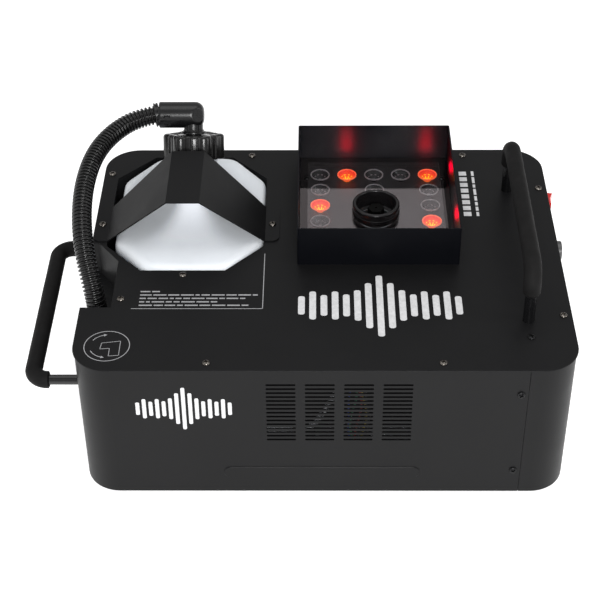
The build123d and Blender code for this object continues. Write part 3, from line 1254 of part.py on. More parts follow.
with BuildPart() as dmx_sockets:
    for socket_y, female in ((SOCKET_IN_Y, False), (SOCKET_OUT_Y, True)):
        socket_plane = facing_right(WALL_X, FRONT + socket_y, LOWER_ROW_Z)
        with BuildSketch(socket_plane):
            RectangleRounded(SOCKET_PLATE_W, SOCKET_PLATE_H, 2.0)
        extrude(amount=1.6)
        with BuildSketch(socket_plane):
            Circle(SOCKET_D / 2 - 1.0)
        extrude(amount=-20.0)
        with BuildSketch(socket_plane.offset(1.6)):
            Circle(8.8)
            if female:
                Circle(8.0, mode=Mode.SUBTRACT)
                with PolarLocations(4.0, 3, start_angle=90):
                    Circle(1.3)
            else:
                with PolarLocations(4.0, 3, start_angle=90):
                    Circle(1.2, mode=Mode.SUBTRACT)
        extrude(amount=-14.0, mode=Mode.SUBTRACT)
save(dmx_sockets.part, "dmx_sockets")

# ---------------------------------------------------------------- display
display_plane = facing_right(WALL_X, FRONT + DISPLAY_Y, TOP - DISPLAY_DROP)
with BuildPart() as display_module:
    with BuildSketch(display_plane):
        RectangleRounded(DISPLAY_W + 5.0, DISPLAY_H + 5.0, 2.0)
    extrude(amount=1.2)
    with BuildSketch(display_plane):
        Rectangle(DISPLAY_W, DISPLAY_H)
    extrude(amount=-12.0)
    with BuildSketch(display_plane.offset(1.2)):
        Rectangle(DISPLAY_W - 6.0, DISPLAY_H - 6.0)
    extrude(amount=-2.2, mode=Mode.SUBTRACT)
    with BuildSketch(display_plane.offset(-12.0)):
        with Locations((0, -(BUTTON_DROP - DISPLAY_DROP) / 2)):
            Rectangle(BUTTON_COUNT * BUTTON_PITCH, DISPLAY_H + BUTTON_DROP - DISPLAY_DROP)
    extrude(amount=-BOARD_T)
save(display_module.part, "display_module")

with BuildPart() as display_window:
    with BuildSketch(display_plane.offset(-1.0)):
        Rectangle(DISPLAY_W - 6.0, DISPLAY_H - 6.0)
    extrude(amount=1.6)
save(display_window.part, "display_window")

for number in range(BUTTON_COUNT):
    along = (number - (BUTTON_COUNT - 1) / 2) * BUTTON_PITCH
    button_plane = facing_right(WALL_X, FRONT + DISPLAY_Y + along, TOP - BUTTON_DROP)
    with BuildPart() as menu_button:
        with BuildSketch(button_plane.offset(BUTTON_PROUD)):
            Circle(BUTTON_D / 2)
        extrude(amount=-BUTTON_PROUD - 9.0)
        chamfer(menu_button.edges().sort_by(Axis.X)[-1], 0.6)
    save(menu_button.part, f"menu_button_{number + 1}")
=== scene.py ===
from math import acos, cos, pi, radians, sin, sqrt

import bmesh
import bpy
import random
from mathutils import Matrix, Vector


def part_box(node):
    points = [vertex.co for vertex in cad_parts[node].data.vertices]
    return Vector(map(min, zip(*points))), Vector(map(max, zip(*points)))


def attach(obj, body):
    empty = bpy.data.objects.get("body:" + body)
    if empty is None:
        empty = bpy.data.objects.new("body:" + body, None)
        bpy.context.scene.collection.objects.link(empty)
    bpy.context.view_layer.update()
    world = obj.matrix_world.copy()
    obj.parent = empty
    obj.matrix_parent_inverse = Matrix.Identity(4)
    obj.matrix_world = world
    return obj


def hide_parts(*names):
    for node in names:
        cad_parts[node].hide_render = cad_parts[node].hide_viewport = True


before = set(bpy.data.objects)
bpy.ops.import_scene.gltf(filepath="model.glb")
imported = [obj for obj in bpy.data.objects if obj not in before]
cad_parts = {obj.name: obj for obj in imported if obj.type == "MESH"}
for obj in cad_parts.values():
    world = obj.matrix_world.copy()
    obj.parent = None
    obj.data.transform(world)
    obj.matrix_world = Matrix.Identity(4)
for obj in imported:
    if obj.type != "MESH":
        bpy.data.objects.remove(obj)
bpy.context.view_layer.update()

scene = bpy.context.scene
random.seed(7)
scene.view_settings.view_transform = "Standard"


# ---------------------------------------------------------------- camera
def set_camera():
    data = bpy.data.cameras.new("camera")
    camera = bpy.data.objects.new("camera", data)
    scene.collection.objects.link(camera)
    data.lens = 91.8
    data.sensor_width = 36.0
    data.clip_start = 0.05
    turn = Matrix.Rotation(radians(0.785), 4, "Z") @ Matrix.Rotation(radians(90 - 38.966), 4, "X")
    turn = turn @ Matrix.Rotation(radians(-0.517), 4, "Z")
    camera.matrix_world = Matrix.Translation((0.0154, -1.3025, 1.1623)) @ turn
    scene.camera = camera


set_camera()


# ---------------------------------------------------------------- materials
class Finish:
    """A node material about one Principled shader, built up layer by layer."""

    def __init__(self, name, color, rough, metal=0.0):
        self.mat = bpy.data.materials.new(name)
        self.mat.use_nodes = True
        self.tree = self.mat.node_tree
        self.shader = self.tree.nodes["Principled BSDF"]
        self.set("Base Color", (*color, 1.0))
        self.set("Roughness", rough)
        self.set("Metallic", metal)
        self.color = color
        self.rough = rough
        self.where = self.node("ShaderNodeTexCoord").outputs["Object"]

    def node(self, kind, **values):
        made = self.tree.nodes.new(kind)
        for key, value in values.items():
            setattr(made, key, value)
        return made

    def link(self, a, b):
        self.tree.links.new(a, b)

    def set(self, name, value):
        self.shader.inputs[name].default_value = value

    def noise(self, size, detail=3.0, stretch=None, rough=0.55):
        made = self.node("ShaderNodeTexNoise")
        made.inputs["Scale"].default_value = 1.0 / size
        made.inputs["Detail"].default_value = detail
        made.inputs["Roughness"].default_value = rough
        where = self.where
        if stretch:
            scale = self.node("ShaderNodeMapping")
            scale.inputs["Scale"].default_value = stretch
            self.link(where, scale.inputs["Vector"])
            where = scale.outputs["Vector"]
        self.link(where, made.inputs["Vector"])
        return made.outputs["Fac"]

    def ramp(self, value, low, high, out_low, out_high):
        made = self.node("ShaderNodeMapRange")
        made.inputs["From Min"].default_value = low
        made.inputs["From Max"].default_value = high
        made.inputs["To Min"].default_value = out_low
        made.inputs["To Max"].default_value = out_high
        self.link(value, made.inputs["Value"])
        return made.outputs["Result"]

    def mottle(self, size, dark, light, stretch=None):
        """The base colour wanders between two shares of itself."""
        mix = self.node("ShaderNodeMix", data_type="RGBA")
        mix.inputs["A"].default_value = (*[c * dark for c in self.color], 1.0)
        mix.inputs["B"].default_value = (*[min(c * light, 1.0) for c in self.color], 1.0)
        self.link(self.ramp(self.noise(size, 4.0, stretch), 0.3, 0.7, 0, 1), mix.inputs["Factor"])
        self.link(mix.outputs["Result"], self.shader.inputs["Base Color"])
        self.paint = mix.outputs["Result"]
        return self

    def uneven(self, size, spread):
        """The roughness wanders."""
        value = self.ramp(self.noise(size, 3.0), 0.3, 0.7, self.rough - spread, self.rough + spread)
        self.link(value, self.shader.inputs["Roughness"])
        return self

    def grain(self, size, depth, detail=2.0, stretch=None):
        """Fine relief: its size and its depth, in metres."""
        bump = self.node("ShaderNodeBump")
        bump.inputs["Strength"].default_value = 1.0
        bump.inputs["Distance"].default_value = depth
        self.link(self.noise(size, detail, stretch), bump.inputs["Height"])
        old = self.shader.inputs["Normal"]
        if old.is_linked:
            self.link(old.links[0].from_socket, bump.inputs["Normal"])
        self.link(bump.outputs["Normal"], old)
        return self

    def painted_edge_highlight(self, color, width, amount):
        """Painted highlight: edges are painted a lighter colour, broken up by noise."""
        bevel = self.node("ShaderNodeBevel", samples=4)
        bevel.inputs["Radius"].default_value = width
        geometry = self.node("ShaderNodeNewGeometry")
        dot = self.node("ShaderNodeVectorMath", operation="DOT_PRODUCT")
        self.link(bevel.outputs["Normal"], dot.inputs[0])
        self.link(geometry.outputs["Normal"], dot.inputs[1])
        edge = self.ramp(dot.outputs["Value"], 0.98, 0.80, 0.0, amount)
        broken = self.node("ShaderNodeMath", operation="MULTIPLY")
        self.link(edge, broken.inputs[0])
        self.link(self.ramp(self.noise(0.004, 3.0), 0.35, 0.65, 0.2, 1.0), broken.inputs[1])
        mix = self.node("ShaderNodeMix", data_type="RGBA")
        self.link(broken.outputs["Value"], mix.inputs["Factor"])
        self.link(self.paint, mix.inputs["A"])
        mix.inputs["B"].default_value = (*color, 1.0)
        self.link(mix.outputs["Result"], self.shader.inputs["Base Color"])
        return self


def powder_coat(name, color, rough, sheen=0.26):
    made = Finish(name, color, rough)
    made.set("Specular IOR Level", sheen)
    made.mottle(0.06, 0.92, 1.10).uneven(0.03, 0.03)
    made.grain(0.0011, 0.00006).grain(0.0004, 0.00002, 1.0)
    # Painted highlight: the edges are painted a lighter colour.
    made.painted_edge_highlight([min(c * 2.4 + 0.01, 1) for c in color], 0.0008, 0.35)
    return made.mat


case_paint = powder_coat("powder_coat", (0.0066, 0.0066, 0.0070), 0.42, 0.15)
deck_paint = powder_coat("deck_powder_coat", (0.0066, 0.0066, 0.0071), 0.44, 0.14)
head_paint = powder_coat("head_powder_coat", (0.0030, 0.0033, 0.0048), 0.36, 0.10)
recess_paint = powder_coat("recess_powder_coat", (0.0085, 0.0085, 0.009), 0.46, 0.25)


def moulded(name, color, rough, depth=0.00004):
    made = Finish(name, color, rough)
    made.mottle(0.02, 0.9, 1.12).uneven(0.012, 0.04).grain(0.0016, depth)
    made.set("Specular IOR Level", 0.42)
    return made.mat


cap_plastic = moulded("cap_plastic", (0.0062, 0.0060, 0.0060), 0.24)
elbow_plastic = moulded("elbow_plastic", (0.0050, 0.0050, 0.0056), 0.28)
hose_plastic = moulded("hose_plastic", (0.0046, 0.0046, 0.0046), 0.24, 0.00003)
socket_plastic = moulded("socket_plastic", (0.012, 0.012, 0.012), 0.42)
rocker_plastic = moulded("rocker_plastic", (0.62, 0.02, 0.018), 0.22)
rocker_plastic.node_tree.nodes["Principled BSDF"].inputs["Subsurface Weight"].default_value = 0.15
key_plastic = moulded("key_plastic", (0.16, 0.16, 0.165), 0.45)
grey_metal = moulded("grey_metal", (0.12, 0.12, 0.12), 0.38)
grey_metal.node_tree.nodes["Principled BSDF"].inputs["Metallic"].default_value = 0.8

foam = Finish("foam_rubber", (0.0062, 0.0059, 0.0060), 0.72)
foam.set("Specular IOR Level", 0.16)
foam.mottle(0.012, 0.82, 1.2).uneven(0.01, 0.05).grain(0.0009, 0.00012).grain(0.004, 0.00015)
foam_rubber = foam.mat

bar = Finish("bar_enamel", (0.0055, 0.0055, 0.006), 0.16)
bar.mottle(0.02, 0.9, 1.1).uneven(0.02, 0.03).grain(0.004, 0.00002)
bar_enamel = bar.mat

rubber = Finish("foot_rubber", (0.015, 0.015, 0.015), 0.8)
rubber.mottle(0.01, 0.8, 1.2).uneven(0.01, 0.05).grain(0.0012, 0.0001)
foot_rubber = rubber.mat

screw = Finish("screw_steel", (0.17, 0.155, 0.14), 0.22, 1.0)
screw.mottle(0.003, 0.7, 1.3).uneven(0.002, 0.06).grain(0.0006, 0.00002)
screw_steel = screw.mat
dark = Finish("black_oxide", (0.02, 0.02, 0.021), 0.34, 0.9)
dark.mottle(0.003, 0.8, 1.2).uneven(0.002, 0.05).grain(0.0006, 0.00002)
black_oxide = dark.mat

turned = Finish("turned_black", (0.012, 0.011, 0.012), 0.24, 0.5)
turned.mottle(0.01, 0.85, 1.15).uneven(0.006, 0.04).grain(0.0012, 0.00002, 2.0, (1, 1, 14))
turned_black = turned.mat

zinc = Finish("zinc_sheet", (0.42, 0.43, 0.45), 0.36, 1.0)
zinc.mottle(0.008, 0.8, 1.1).uneven(0.006, 0.07).grain(0.003, 0.00003)
zinc_sheet = zinc.mat
alloy = Finish("cast_alloy", (0.55, 0.56, 0.57), 0.5, 1.0)
alloy.mottle(0.01, 0.85, 1.05).uneven(0.004, 0.06).grain(0.0012, 0.0001)
cast_alloy = alloy.mat
brass_finish = Finish("machined_brass", (0.60, 0.42, 0.17), 0.3, 1.0)
brass_finish.mottle(0.006, 0.8, 1.1).uneven(0.003, 0.06).grain(0.001, 0.00002)
machined_brass = brass_finish.mat
# The nozzle pipe is near black.
near_black = Finish("near_black_steel", (0.0016, 0.0015, 0.0014), 0.6, 0.0)
near_black.set("Specular IOR Level", 0.06)
near_black.mottle(0.006, 0.7, 1.3).uneven(0.004, 0.08).grain(0.001, 0.00004)
near_black_steel = near_black.mat
wool = Finish("mineral_wool", (0.52, 0.49, 0.40), 0.95)
wool.mottle(0.006, 0.75, 1.15).uneven(0.01, 0.03).grain(0.0016, 0.0006, 4.0)
mineral_wool = wool.mat
board = Finish("circuit_board", (0.010, 0.0098, 0.0105), 0.36)
board.mottle(0.01, 0.8, 1.25).uneven(0.01, 0.05).grain(0.002, 0.00003)
circuit_board = board.mat
winding = Finish("coil_winding", (0.22, 0.05, 0.02), 0.35)
winding.mottle(0.004, 0.7, 1.2).uneven(0.004, 0.06).grain(0.0008, 0.0001, 1.0, (12, 1, 1))
coil_winding = winding.mat

milk = Finish("milky_plastic", (0.80, 0.835, 0.875), 0.36)
milk.mottle(0.05, 0.97, 1.03).uneven(0.02, 0.04).grain(0.006, 0.00012).grain(0.0012, 0.00003)
milk.set("Subsurface Weight", 0.45)
milk.set("Subsurface Radius", (1.0, 1.0, 1.0))
milk.set("Subsurface Scale", 0.012)
# Painted light: the tank's plastic glows by a per-vertex share, painting a lit ridge down the front of the
# neck's flare.
painted_ridge_share = milk.node("ShaderNodeAttribute", attribute_name="painted_ridge_light")
milk.set("Emission Color", (0.90, 0.93, 1.0, 1.0))
milk.link(milk.ramp(painted_ridge_share.outputs["Fac"], 0.0, 1.0, 0.0, 0.72), milk.shader.inputs["Emission Strength"])
milky_plastic = milk.mat

pane = Finish("clear_pane", (0.90, 0.90, 0.92), 0.015)
pane.mottle(0.08, 0.98, 1.02).grain(0.03, 0.00001)
pane.set("Transmission Weight", 1.0)
pane.set("IOR", 2.0)
pane.set("Specular Tint", (1.0, 0.86, 0.89, 1.0))
clear_pane = pane.mat

ink = Finish("printed_ink", (0.66, 0.66, 0.67), 0.5)
ink.mottle(0.004, 0.88, 1.08).uneven(0.004, 0.06).grain(0.0006, 0.00003)
printed_ink = ink.mat
thin_ink = Finish("thin_printed_ink", (0.36, 0.36, 0.37), 0.5)
thin_ink.mottle(0.003, 0.8, 1.1).uneven(0.004, 0.06).grain(0.0006, 0.00003)
thin_printed_ink = thin_ink.mat
screen = Finish("display_glass", (0.012, 0.018, 0.03), 0.06)
screen.mottle(0.02, 0.85, 1.2).uneven(0.02, 0.02).grain(0.01, 0.00001)
display_glass = screen.mat
BLUE, GREEN, RED = (0.015, 0.03, 0.16), (0.02, 0.10, 0.05), (0.16, 0.015, 0.012)
YELLOW, BLACK = (0.17, 0.13, 0.02), (0.02, 0.02, 0.02)
wire_finishes = []
for tone in (BLUE, GREEN, RED, YELLOW, BLACK):
    wire = Finish("wire_jacket", tone, 0.38)
    wire.mottle(0.004, 0.85, 1.15).uneven(0.004, 0.05).grain(0.001, 0.00003)
    wire_finishes.append(wire.mat)


# ---------------------------------------------------------------- mesh making
def mesh_object(name, verts, faces, mat, sharp=32):
    mesh = bpy.data.meshes.new(name)
    mesh.from_pydata([tuple(v) for v in verts], [], faces)
    mesh.validate()
    tidy = bmesh.new()
    tidy.from_mesh(mesh)
    bmesh.ops.recalc_face_normals(tidy, faces=tidy.faces)
    tidy.to_mesh(mesh)
    tidy.free()
    mesh.polygons.foreach_set("use_smooth", [True] * len(mesh.polygons))
    mesh.set_sharp_from_angle(angle=radians(sharp))
    if mat:
        mesh.materials.append(mat)
    made = bpy.data.objects.new(name, mesh)
    scene.collection.objects.link(made)
    return made


def frame_at(origin, z, x=None):
    """A matrix with its Z along z and its origin at a point."""
    z = Vector(z).normalized()
    x = Vector(x if x else ((1, 0, 0) if abs(z.x) < 0.9 else (0, 1, 0)))
    x = (x - z * x.dot(z)).normalized()
    y = z.cross(x)
    made = Matrix((x, y, z)).transposed().to_4x4()
    made.translation = Vector(origin)
    return made


def circle(radius, height, place, segments):
    """Points round a matrix's Z."""
    made = []
    for k in range(segments):
        angle = 2 * pi * k / segments
        made.append(place @ Vector((radius * cos(angle), radius * sin(angle), height)))
    return made


class Shape:
    """Vertices and faces gathered into one piece."""

    def __init__(self):
        self.verts = []
        self.faces = []

    def rings(self, rings, close_start=True, close_end=True, closed=False):
        """Skins rings of as many points each."""
        start = len(self.verts)
        count = len(rings[0])
        for ring in rings:
            self.verts += [Vector(p) for p in ring]
        spans = len(rings) if closed else len(rings) - 1
        for i in range(spans):
            a = start + i * count
            b = start + ((i + 1) % len(rings)) * count
            for j in range(count):
                k = (j + 1) % count
                self.faces.append((a + j, a + k, b + k, b + j))
        if close_start and not closed:
            self.faces.append(tuple(range(start + count - 1, start - 1, -1)))
        if close_end and not closed:
            last = start + (len(rings) - 1) * count
            self.faces.append(tuple(range(last, last + count)))
        return self

    def lathe(self, profile, place, segments=64, closed=False):
        """Turns (radius, height) points about a matrix's Z."""
        rings = []
        for radius, height in profile:
            radius = max(radius, 0.00002)
            rings.append(circle(radius, height, place, segments))
        return self.rings(rings, closed=closed)

    def prism(self, outline, low, high, place, bevel=0.0):
        """A flat outline with a height and a small bevel round its top."""
        centre = sum((Vector(p) for p in outline), Vector((0, 0))) / len(outline)

        def ring(height, inset):
            made = []
            count = len(outline)
            for i in range(count):
                a, b, c = (Vector(outline[(i + k) % count]) for k in (-1, 0, 1))
                n1 = Vector((b.y - a.y, a.x - b.x)).normalized()
                n2 = Vector((c.y - b.y, b.x - c.x)).normalized()
                n = n1 + n2
                n = n * (2 / max(n.length_squared, 0.2))
                if n.dot(b - centre) < 0:
                    n = -n
                p = b - n * inset
                made.append(place @ Vector((p.x, p.y, height)))
            return made

        levels = [ring(low, 0.0), ring(high - bevel, 0.0)]
        if bevel:
            levels.append(ring(high - bevel * 0.3, bevel * 0.3))
            levels.append(ring(high, bevel))
        return self.rings(levels)

    def done(self, name, mat, body="case", sharp=32, replaces=()):
        made = mesh_object(name, self.verts, self.faces, mat, sharp)
        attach(made, body)
        if replaces:
            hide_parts(*replaces)
        return made


def along(points, radii, segments=32, wave=None):
    """Rings round a line of points, carried without twist. wave(i, angle) adds to a radius."""
    count = len(points)
    points = [Vector(p) for p in points]
    tangents = []
    for i in range(count):
        tangents.append((points[min(i + 1, count - 1)] - points[max(i - 1, 0)]).normalized())
    side = tangents[0].orthogonal().normalized()
    rings = []
    for i, (point, tangent) in enumerate(zip(points, tangents)):
        side = (side - tangent * side.dot(tangent)).normalized()
        other = tangent.cross(side)
        radius = radii[i] if isinstance(radii, list) else radii
        ring = []
        for j in range(segments):
            angle = 2 * pi * j / segments
            r = radius + (wave(i, angle) if wave else 0.0)
            ring.append(point + (side * cos(angle) + other * sin(angle)) * r)
        rings.append(ring)
    return rings


def rounded(outline, radius, steps=6):
    """A polygon's corners rounded off."""
    made = []
    count = len(outline)
    for i in range(count):
        a, b, c = (Vector(outline[(i + k) % count]) for k in (-1, 0, 1))
        u = (a - b).normalized()
        v = (c - b).normalized()
        half = acos(max(-1, min(1, u.dot(v)))) / 2
        r = min(radius, 0.45 * min((a - b).length, (c - b).length) * sin(half) / max(cos(half), 1e-4))
        reach = r * cos(half) / sin(half)
        start = b + u * reach
        end = b + v * reach
        for k in range(steps + 1):
            t = k / steps
            q = start * (1 - t) ** 2 + b * 2 * t * (1 - t) + end * t**2
            made.append((q.x, q.y))
    return made


def rectangle(w, h, r=0.0, steps=5):
    flat = [(-w / 2, -h / 2), (w / 2, -h / 2), (w / 2, h / 2), (-w / 2, h / 2)]
    return rounded(flat, r, steps) if r else flat


# ---------------------------------------------------------------- repeated pieces
def repeat_tree():
    """Sets one piece at every point of a mesh, turned as the point says and scaled to its sizes."""
    tree = bpy.data.node_groups.new("set_at_each_place", "GeometryNodeTree")
    sockets = tree.interface
    sockets.new_socket("Places", in_out="INPUT", socket_type="NodeSocketGeometry")
    sockets.new_socket("Piece", in_out="INPUT", socket_type="NodeSocketObject")
    sockets.new_socket("Width", in_out="INPUT", socket_type="NodeSocketFloat")
    sockets.new_socket("Height", in_out="INPUT", socket_type="NodeSocketFloat")
    sockets.new_socket("Finish", in_out="INPUT", socket_type="NodeSocketMaterial")
    sockets.new_socket("Pieces", in_out="OUTPUT", socket_type="NodeSocketGeometry")
    given = tree.nodes.new("NodeGroupInput")
    piece = tree.nodes.new("GeometryNodeObjectInfo")
    size = tree.nodes.new("ShaderNodeCombineXYZ")
    turn = tree.nodes.new("GeometryNodeInputNamedAttribute")
    turn.data_type = "QUATERNION"
    turn.inputs["Name"].default_value = "turn"
    repeat = tree.nodes.new("GeometryNodeInstanceOnPoints")
    solid = tree.nodes.new("GeometryNodeRealizeInstances")
    coat = tree.nodes.new("GeometryNodeSetMaterial")
    result = tree.nodes.new("NodeGroupOutput")
    tree.links.new(given.outputs["Piece"], piece.inputs["Object"])
    tree.links.new(given.outputs["Width"], size.inputs["X"])
    tree.links.new(given.outputs["Width"], size.inputs["Y"])
    tree.links.new(given.outputs["Height"], size.inputs["Z"])
    tree.links.new(given.outputs["Places"], repeat.inputs["Points"])
    tree.links.new(piece.outputs["Geometry"], repeat.inputs["Instance"])
    tree.links.new(turn.outputs["Attribute"], repeat.inputs["Rotation"])
    tree.links.new(size.outputs["Vector"], repeat.inputs["Scale"])
    tree.links.new(repeat.outputs["Instances"], solid.inputs["Geometry"])
    tree.links.new(solid.outputs["Geometry"], coat.inputs["Geometry"])
    tree.links.new(given.outputs["Finish"], coat.inputs["Material"])
    tree.links.new(coat.outputs["Geometry"], result.inputs["Pieces"])
    return tree


SET_AT_EACH_PLACE = repeat_tree()


def repeated(name, shape, places, mat, width=1.0, height=1.0, sharp=32, replaces=()):
    """One shape at each matrix in places, made by the tree and left as a plain mesh."""
    piece = mesh_object(name + "_one", shape.verts, shape.faces, None)
    points = bpy.data.meshes.new(name + "_places")
    points.from_pydata([place.to_translation() for place in places], [], [])
    turns = points.attributes.new("turn", "QUATERNION", "POINT")
    for place, held in zip(places, turns.data):
        held.value = place.to_quaternion()
    made = bpy.data.objects.new(name, points)
    scene.collection.objects.link(made)
    repeat = made.modifiers.new("repeat", "NODES")
    repeat.node_group = SET_AT_EACH_PLACE
    sockets = {s.name: s.identifier for s in SET_AT_EACH_PLACE.interface.items_tree if s.in_out == "INPUT"}
    repeat[sockets["Piece"]] = piece
    repeat[sockets["Width"]] = width
    repeat[sockets["Height"]] = height
    repeat[sockets["Finish"]] = mat
    mesh = bpy.data.meshes.new_from_object(made.evaluated_get(bpy.context.evaluated_depsgraph_get()))
    made.modifiers.remove(repeat)
    made.data = mesh
    bpy.data.meshes.remove(points)
    bpy.data.objects.remove(piece)
    mesh.polygons.foreach_set("use_smooth", [True] * len(mesh.polygons))
    mesh.set_sharp_from_angle(angle=radians(sharp))
    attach(made, "case")
    if replaces:
        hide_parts(*replaces)
    return made


# ---------------------------------------------------------------- places
DECK_MIN, DECK_MAX = (Vector(p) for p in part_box("top_cover"))
CASE_X = (DECK_MIN.x + DECK_MAX.x) / 2
TOP = DECK_MAX.z


def middle(node):
    low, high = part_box(node)
    return (Vector(low) + Vector(high)) / 2


# ---------------------------------------------------------------- hose
HOSE_D = 0.0212
hose_route = [
    (-0.183, 0.152, 0.252), (-0.206, 0.147, 0.251), (-0.232, 0.1255, 0.246),
    (-0.2495, 0.093, 0.240), (-0.257, 0.051, 0.231), (-0.257, 0.009, 0.218),
    (-0.252, -0.026, 0.200), (-0.2445, -0.049, 0.179), (-0.239, -0.0605, 0.157),
    (-0.2375, -0.063, 0.137),
]
hose_route = [(x + CASE_X, y, z) for x, y, z in hose_route]
curve = bpy.data.curves.new("hose_line", "CURVE")
curve.dimensions = "3D"
spline = curve.splines.new("NURBS")
spline.points.add(len(hose_route) - 1)
for point, place in zip(spline.points, hose_route):
    point.co = (*place, 1.0)
spline.order_u = 3
spline.use_endpoint_u = True
spline.resolution_u = 24
line = bpy.data.objects.new("hose_line", curve)
line_mesh = bpy.data.meshes.new_from_object(line)
hose_path = [v.co.copy() for v in line_mesh.vertices]
bpy.data.objects.remove(line)
steps = [0.0]
for a, b in zip(hose_path, hose_path[1:]):
    steps.append(steps[-1] + (b - a).length)
HOSE_L = steps[-1]


def at_length(s):
    """A point so far along the hose."""
    for i in range(len(steps) - 1):
        if s <= steps[i + 1]:
            share = (s - steps[i]) / max(steps[i + 1] - steps[i], 1e-9)
            return hose_path[i].lerp(hose_path[i + 1], share)
    return hose_path[-1].copy()


RIB = 0.0042
RIB_RISE = 0.0019
END_DROP = 0.0016
rib_profile = [
    (0.0, 0.0), (0.06, 0.75), (0.13, 1.0), (0.45, 1.0), (0.52, 0.75), (0.58, 0.0), (0.64, -0.15),
    (0.94, -0.15),
]
hose_points = []
hose_radii = []
ribs = int(HOSE_L / RIB)
for rib in range(ribs):
    for share, rise in rib_profile:
        hose_points.append(at_length((rib + share) * HOSE_L / ribs))
        hose_radii.append(HOSE_D / 2 - RIB_RISE * (1 - rise))
hose_points.append(at_length(HOSE_L))
hose_radii.append(HOSE_D / 2 - END_DROP)
hose_shape = Shape().rings(along(hose_points, hose_radii, 40))
hose = hose_shape.done("corrugated_hose", hose_plastic, "case", 60, ("hose",))

first = (Vector(hose_path[2]) - Vector(hose_path[0])).normalized()
collar_shape = Shape()
collar_place = frame_at(hose_path[0], first)
collar_shape.lathe(
    [
        (0.0098, 0.0006), (0.0128, 0.0006), (0.01325, 0.0011), (0.01325, 0.0024), (0.0122, 0.0028),
        (0.0122, 0.0036), (0.01325, 0.0040), (0.01325, 0.0052), (0.0128, 0.0056), (0.0098, 0.0056),
    ],
    collar_place, 64, True,
)
collar = collar_shape.done("hose_clip_ring", elbow_plastic, "case", 32, ("hose_collar",))

# ---------------------------------------------------------------- tank
def eight_points(w, l, cx, cy, at):
    x = w / 2
    y = l / 2
    flat = [
        (x, y - cy), (x - cx, y), (cx - x, y), (-x, y - cy),
        (-x, cy - y), (cx - x, -y), (x - cx, -y), (x, cy - y),
    ]
    return [(px + at[0], py + at[1]) for px, py in flat]


TANK_LOW, TANK_HIGH = (Vector(p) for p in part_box("tank"))
TANK_W = TANK_HIGH.x - TANK_LOW.x
TANK_L = TANK_HIGH.y - TANK_LOW.y
TANK_X = (TANK_LOW.x + TANK_HIGH.x) / 2
TANK_Y = (TANK_LOW.y + TANK_HIGH.y) / 2
LEAN = radians(27)
UP = Vector((0, sin(LEAN), cos(LEAN)))
CAP_AT = Vector((TANK_X, TANK_Y + 0.0645, TOP + 0.0435))
neck_place = frame_at(CAP_AT, UP, (1, 0, 0))


def tank_ring(share_w, share_l, shift_y, z, cut, corner, count=128):
    """A level ring of the tank, drawn from its eight-sided outline."""
    w = TANK_W * share_w
    l = TANK_L * share_l
    outline = eight_points(w, l, 0.037 * cut * share_w, 0.048 * cut * share_l, (TANK_X, TANK_Y + shift_y))
    made = []
    soft = rounded(outline, corner, 8)
    centre = Vector((TANK_X, TANK_Y + shift_y))
    for k in range(count):
        angle = 2 * pi * k / count
        direction = Vector((cos(angle), sin(angle)))
        best = None
        for i in range(len(soft)):
            a = Vector(soft[i]) - centre
            b = Vector(soft[(i + 1) % len(soft)]) - centre
            e = b - a
            cross = direction.x * e.y - direction.y * e.x
            if abs(cross) < 1e-12:
                continue
            t = (a.x * e.y - a.y * e.x) / cross
            u = (a.x * direction.y - a.y * direction.x) / cross
            if t > 0 and -1e-6 <= u <= 1 + 1e-6:
                best = t if best is None else max(best, t)
        if best is None:
            best = w / 2
        made.append(Vector((centre.x + direction.x * best, centre.y + direction.y * best, z)))
    return made


def neck_ring(radius, height, count=128):
    return circle(radius, height, neck_place, count)


base = TANK_LOW.z
rings = [
    tank_ring(0.93, 0.945, 0, base + 0.0004, 1, 0.014),
    tank_ring(0.965, 0.973, 0, base + 0.0012, 1, 0.014),
    tank_ring(0.992, 0.993, 0, base + 0.004, 1, 0.014),
    tank_ring(0.999, 0.999, 0, base + 0.009, 1, 0.014),
    tank_ring(0.999, 0.999, 0, TOP - 0.012, 1, 0.014),
    tank_ring(0.995, 0.996, 0, TOP - 0.006, 1, 0.015),
    tank_ring(0.98, 0.985, 0, TOP - 0.002, 1, 0.017),
]
shoulder = tank_ring(0.95, 0.962, 0.001, TOP + 0.0004, 1, 0.02)
top_ring = neck_ring(0.0262, -0.0150)
foot_dir = [(p - Vector((TANK_X, TANK_Y, p.z))).normalized() for p in shoulder]
layers = 26
flare = [shoulder]
for k in range(1, layers + 1):
    t = k / layers
    ring = []
    for p, q, d in zip(shoulder, top_ring, foot_dir):
        # The sides come in early and low, so a ridge runs down to the front.
        front = max(0.0, -d.y) ** 3
        power = 3.4 - 1.9 * front
        inward = 1 - (1 - t) ** power
        rise = t ** (2.1 + 0.5 * front)
        level = p.lerp(q, inward)
        height = p.z + (q.z - p.z) * rise
        ring.append(Vector((level.x, level.y, height)))
    flare.append(ring)
rings += flare
NECK_R = 0.0258
BORE_R = 0.0215
rings += [neck_ring(NECK_R, -0.012), neck_ring(NECK_R, 0.0080)]
rings += [neck_ring(BORE_R, 0.0081), neck_ring(BORE_R, -0.0150)]
tank_shape = Shape().rings(rings, close_start=True, close_end=False)
tank = tank_shape.done("fluid_tank", milky_plastic, "case", 50, ("tank",))
# Painted light down the neck's flare: how much painted glow each vertex gets, a ridge down the front that
# fades lower down.
painted_ridge_glow = tank.data.attributes.new("painted_ridge_light", "FLOAT", "POINT")
for vertex, value in zip(tank.data.vertices, painted_ridge_glow.data):
    aside = abs(vertex.co.x - TANK_X)
    down = min(max((TANK_Y + 0.022 - vertex.co.y) / 0.085, 0.0), 1.0)
    width = 0.0115 + 0.034 * down**2.2
    edge = 0.004 + 0.020 * down
    share = min(max((width + edge - aside) / (2 * edge), 0.0), 1.0)
    share = share * share * (3 - 2 * share)
    value.value = share * (1.0 - 0.85 * down) if vertex.co.z > TOP - 0.001 else 0.0

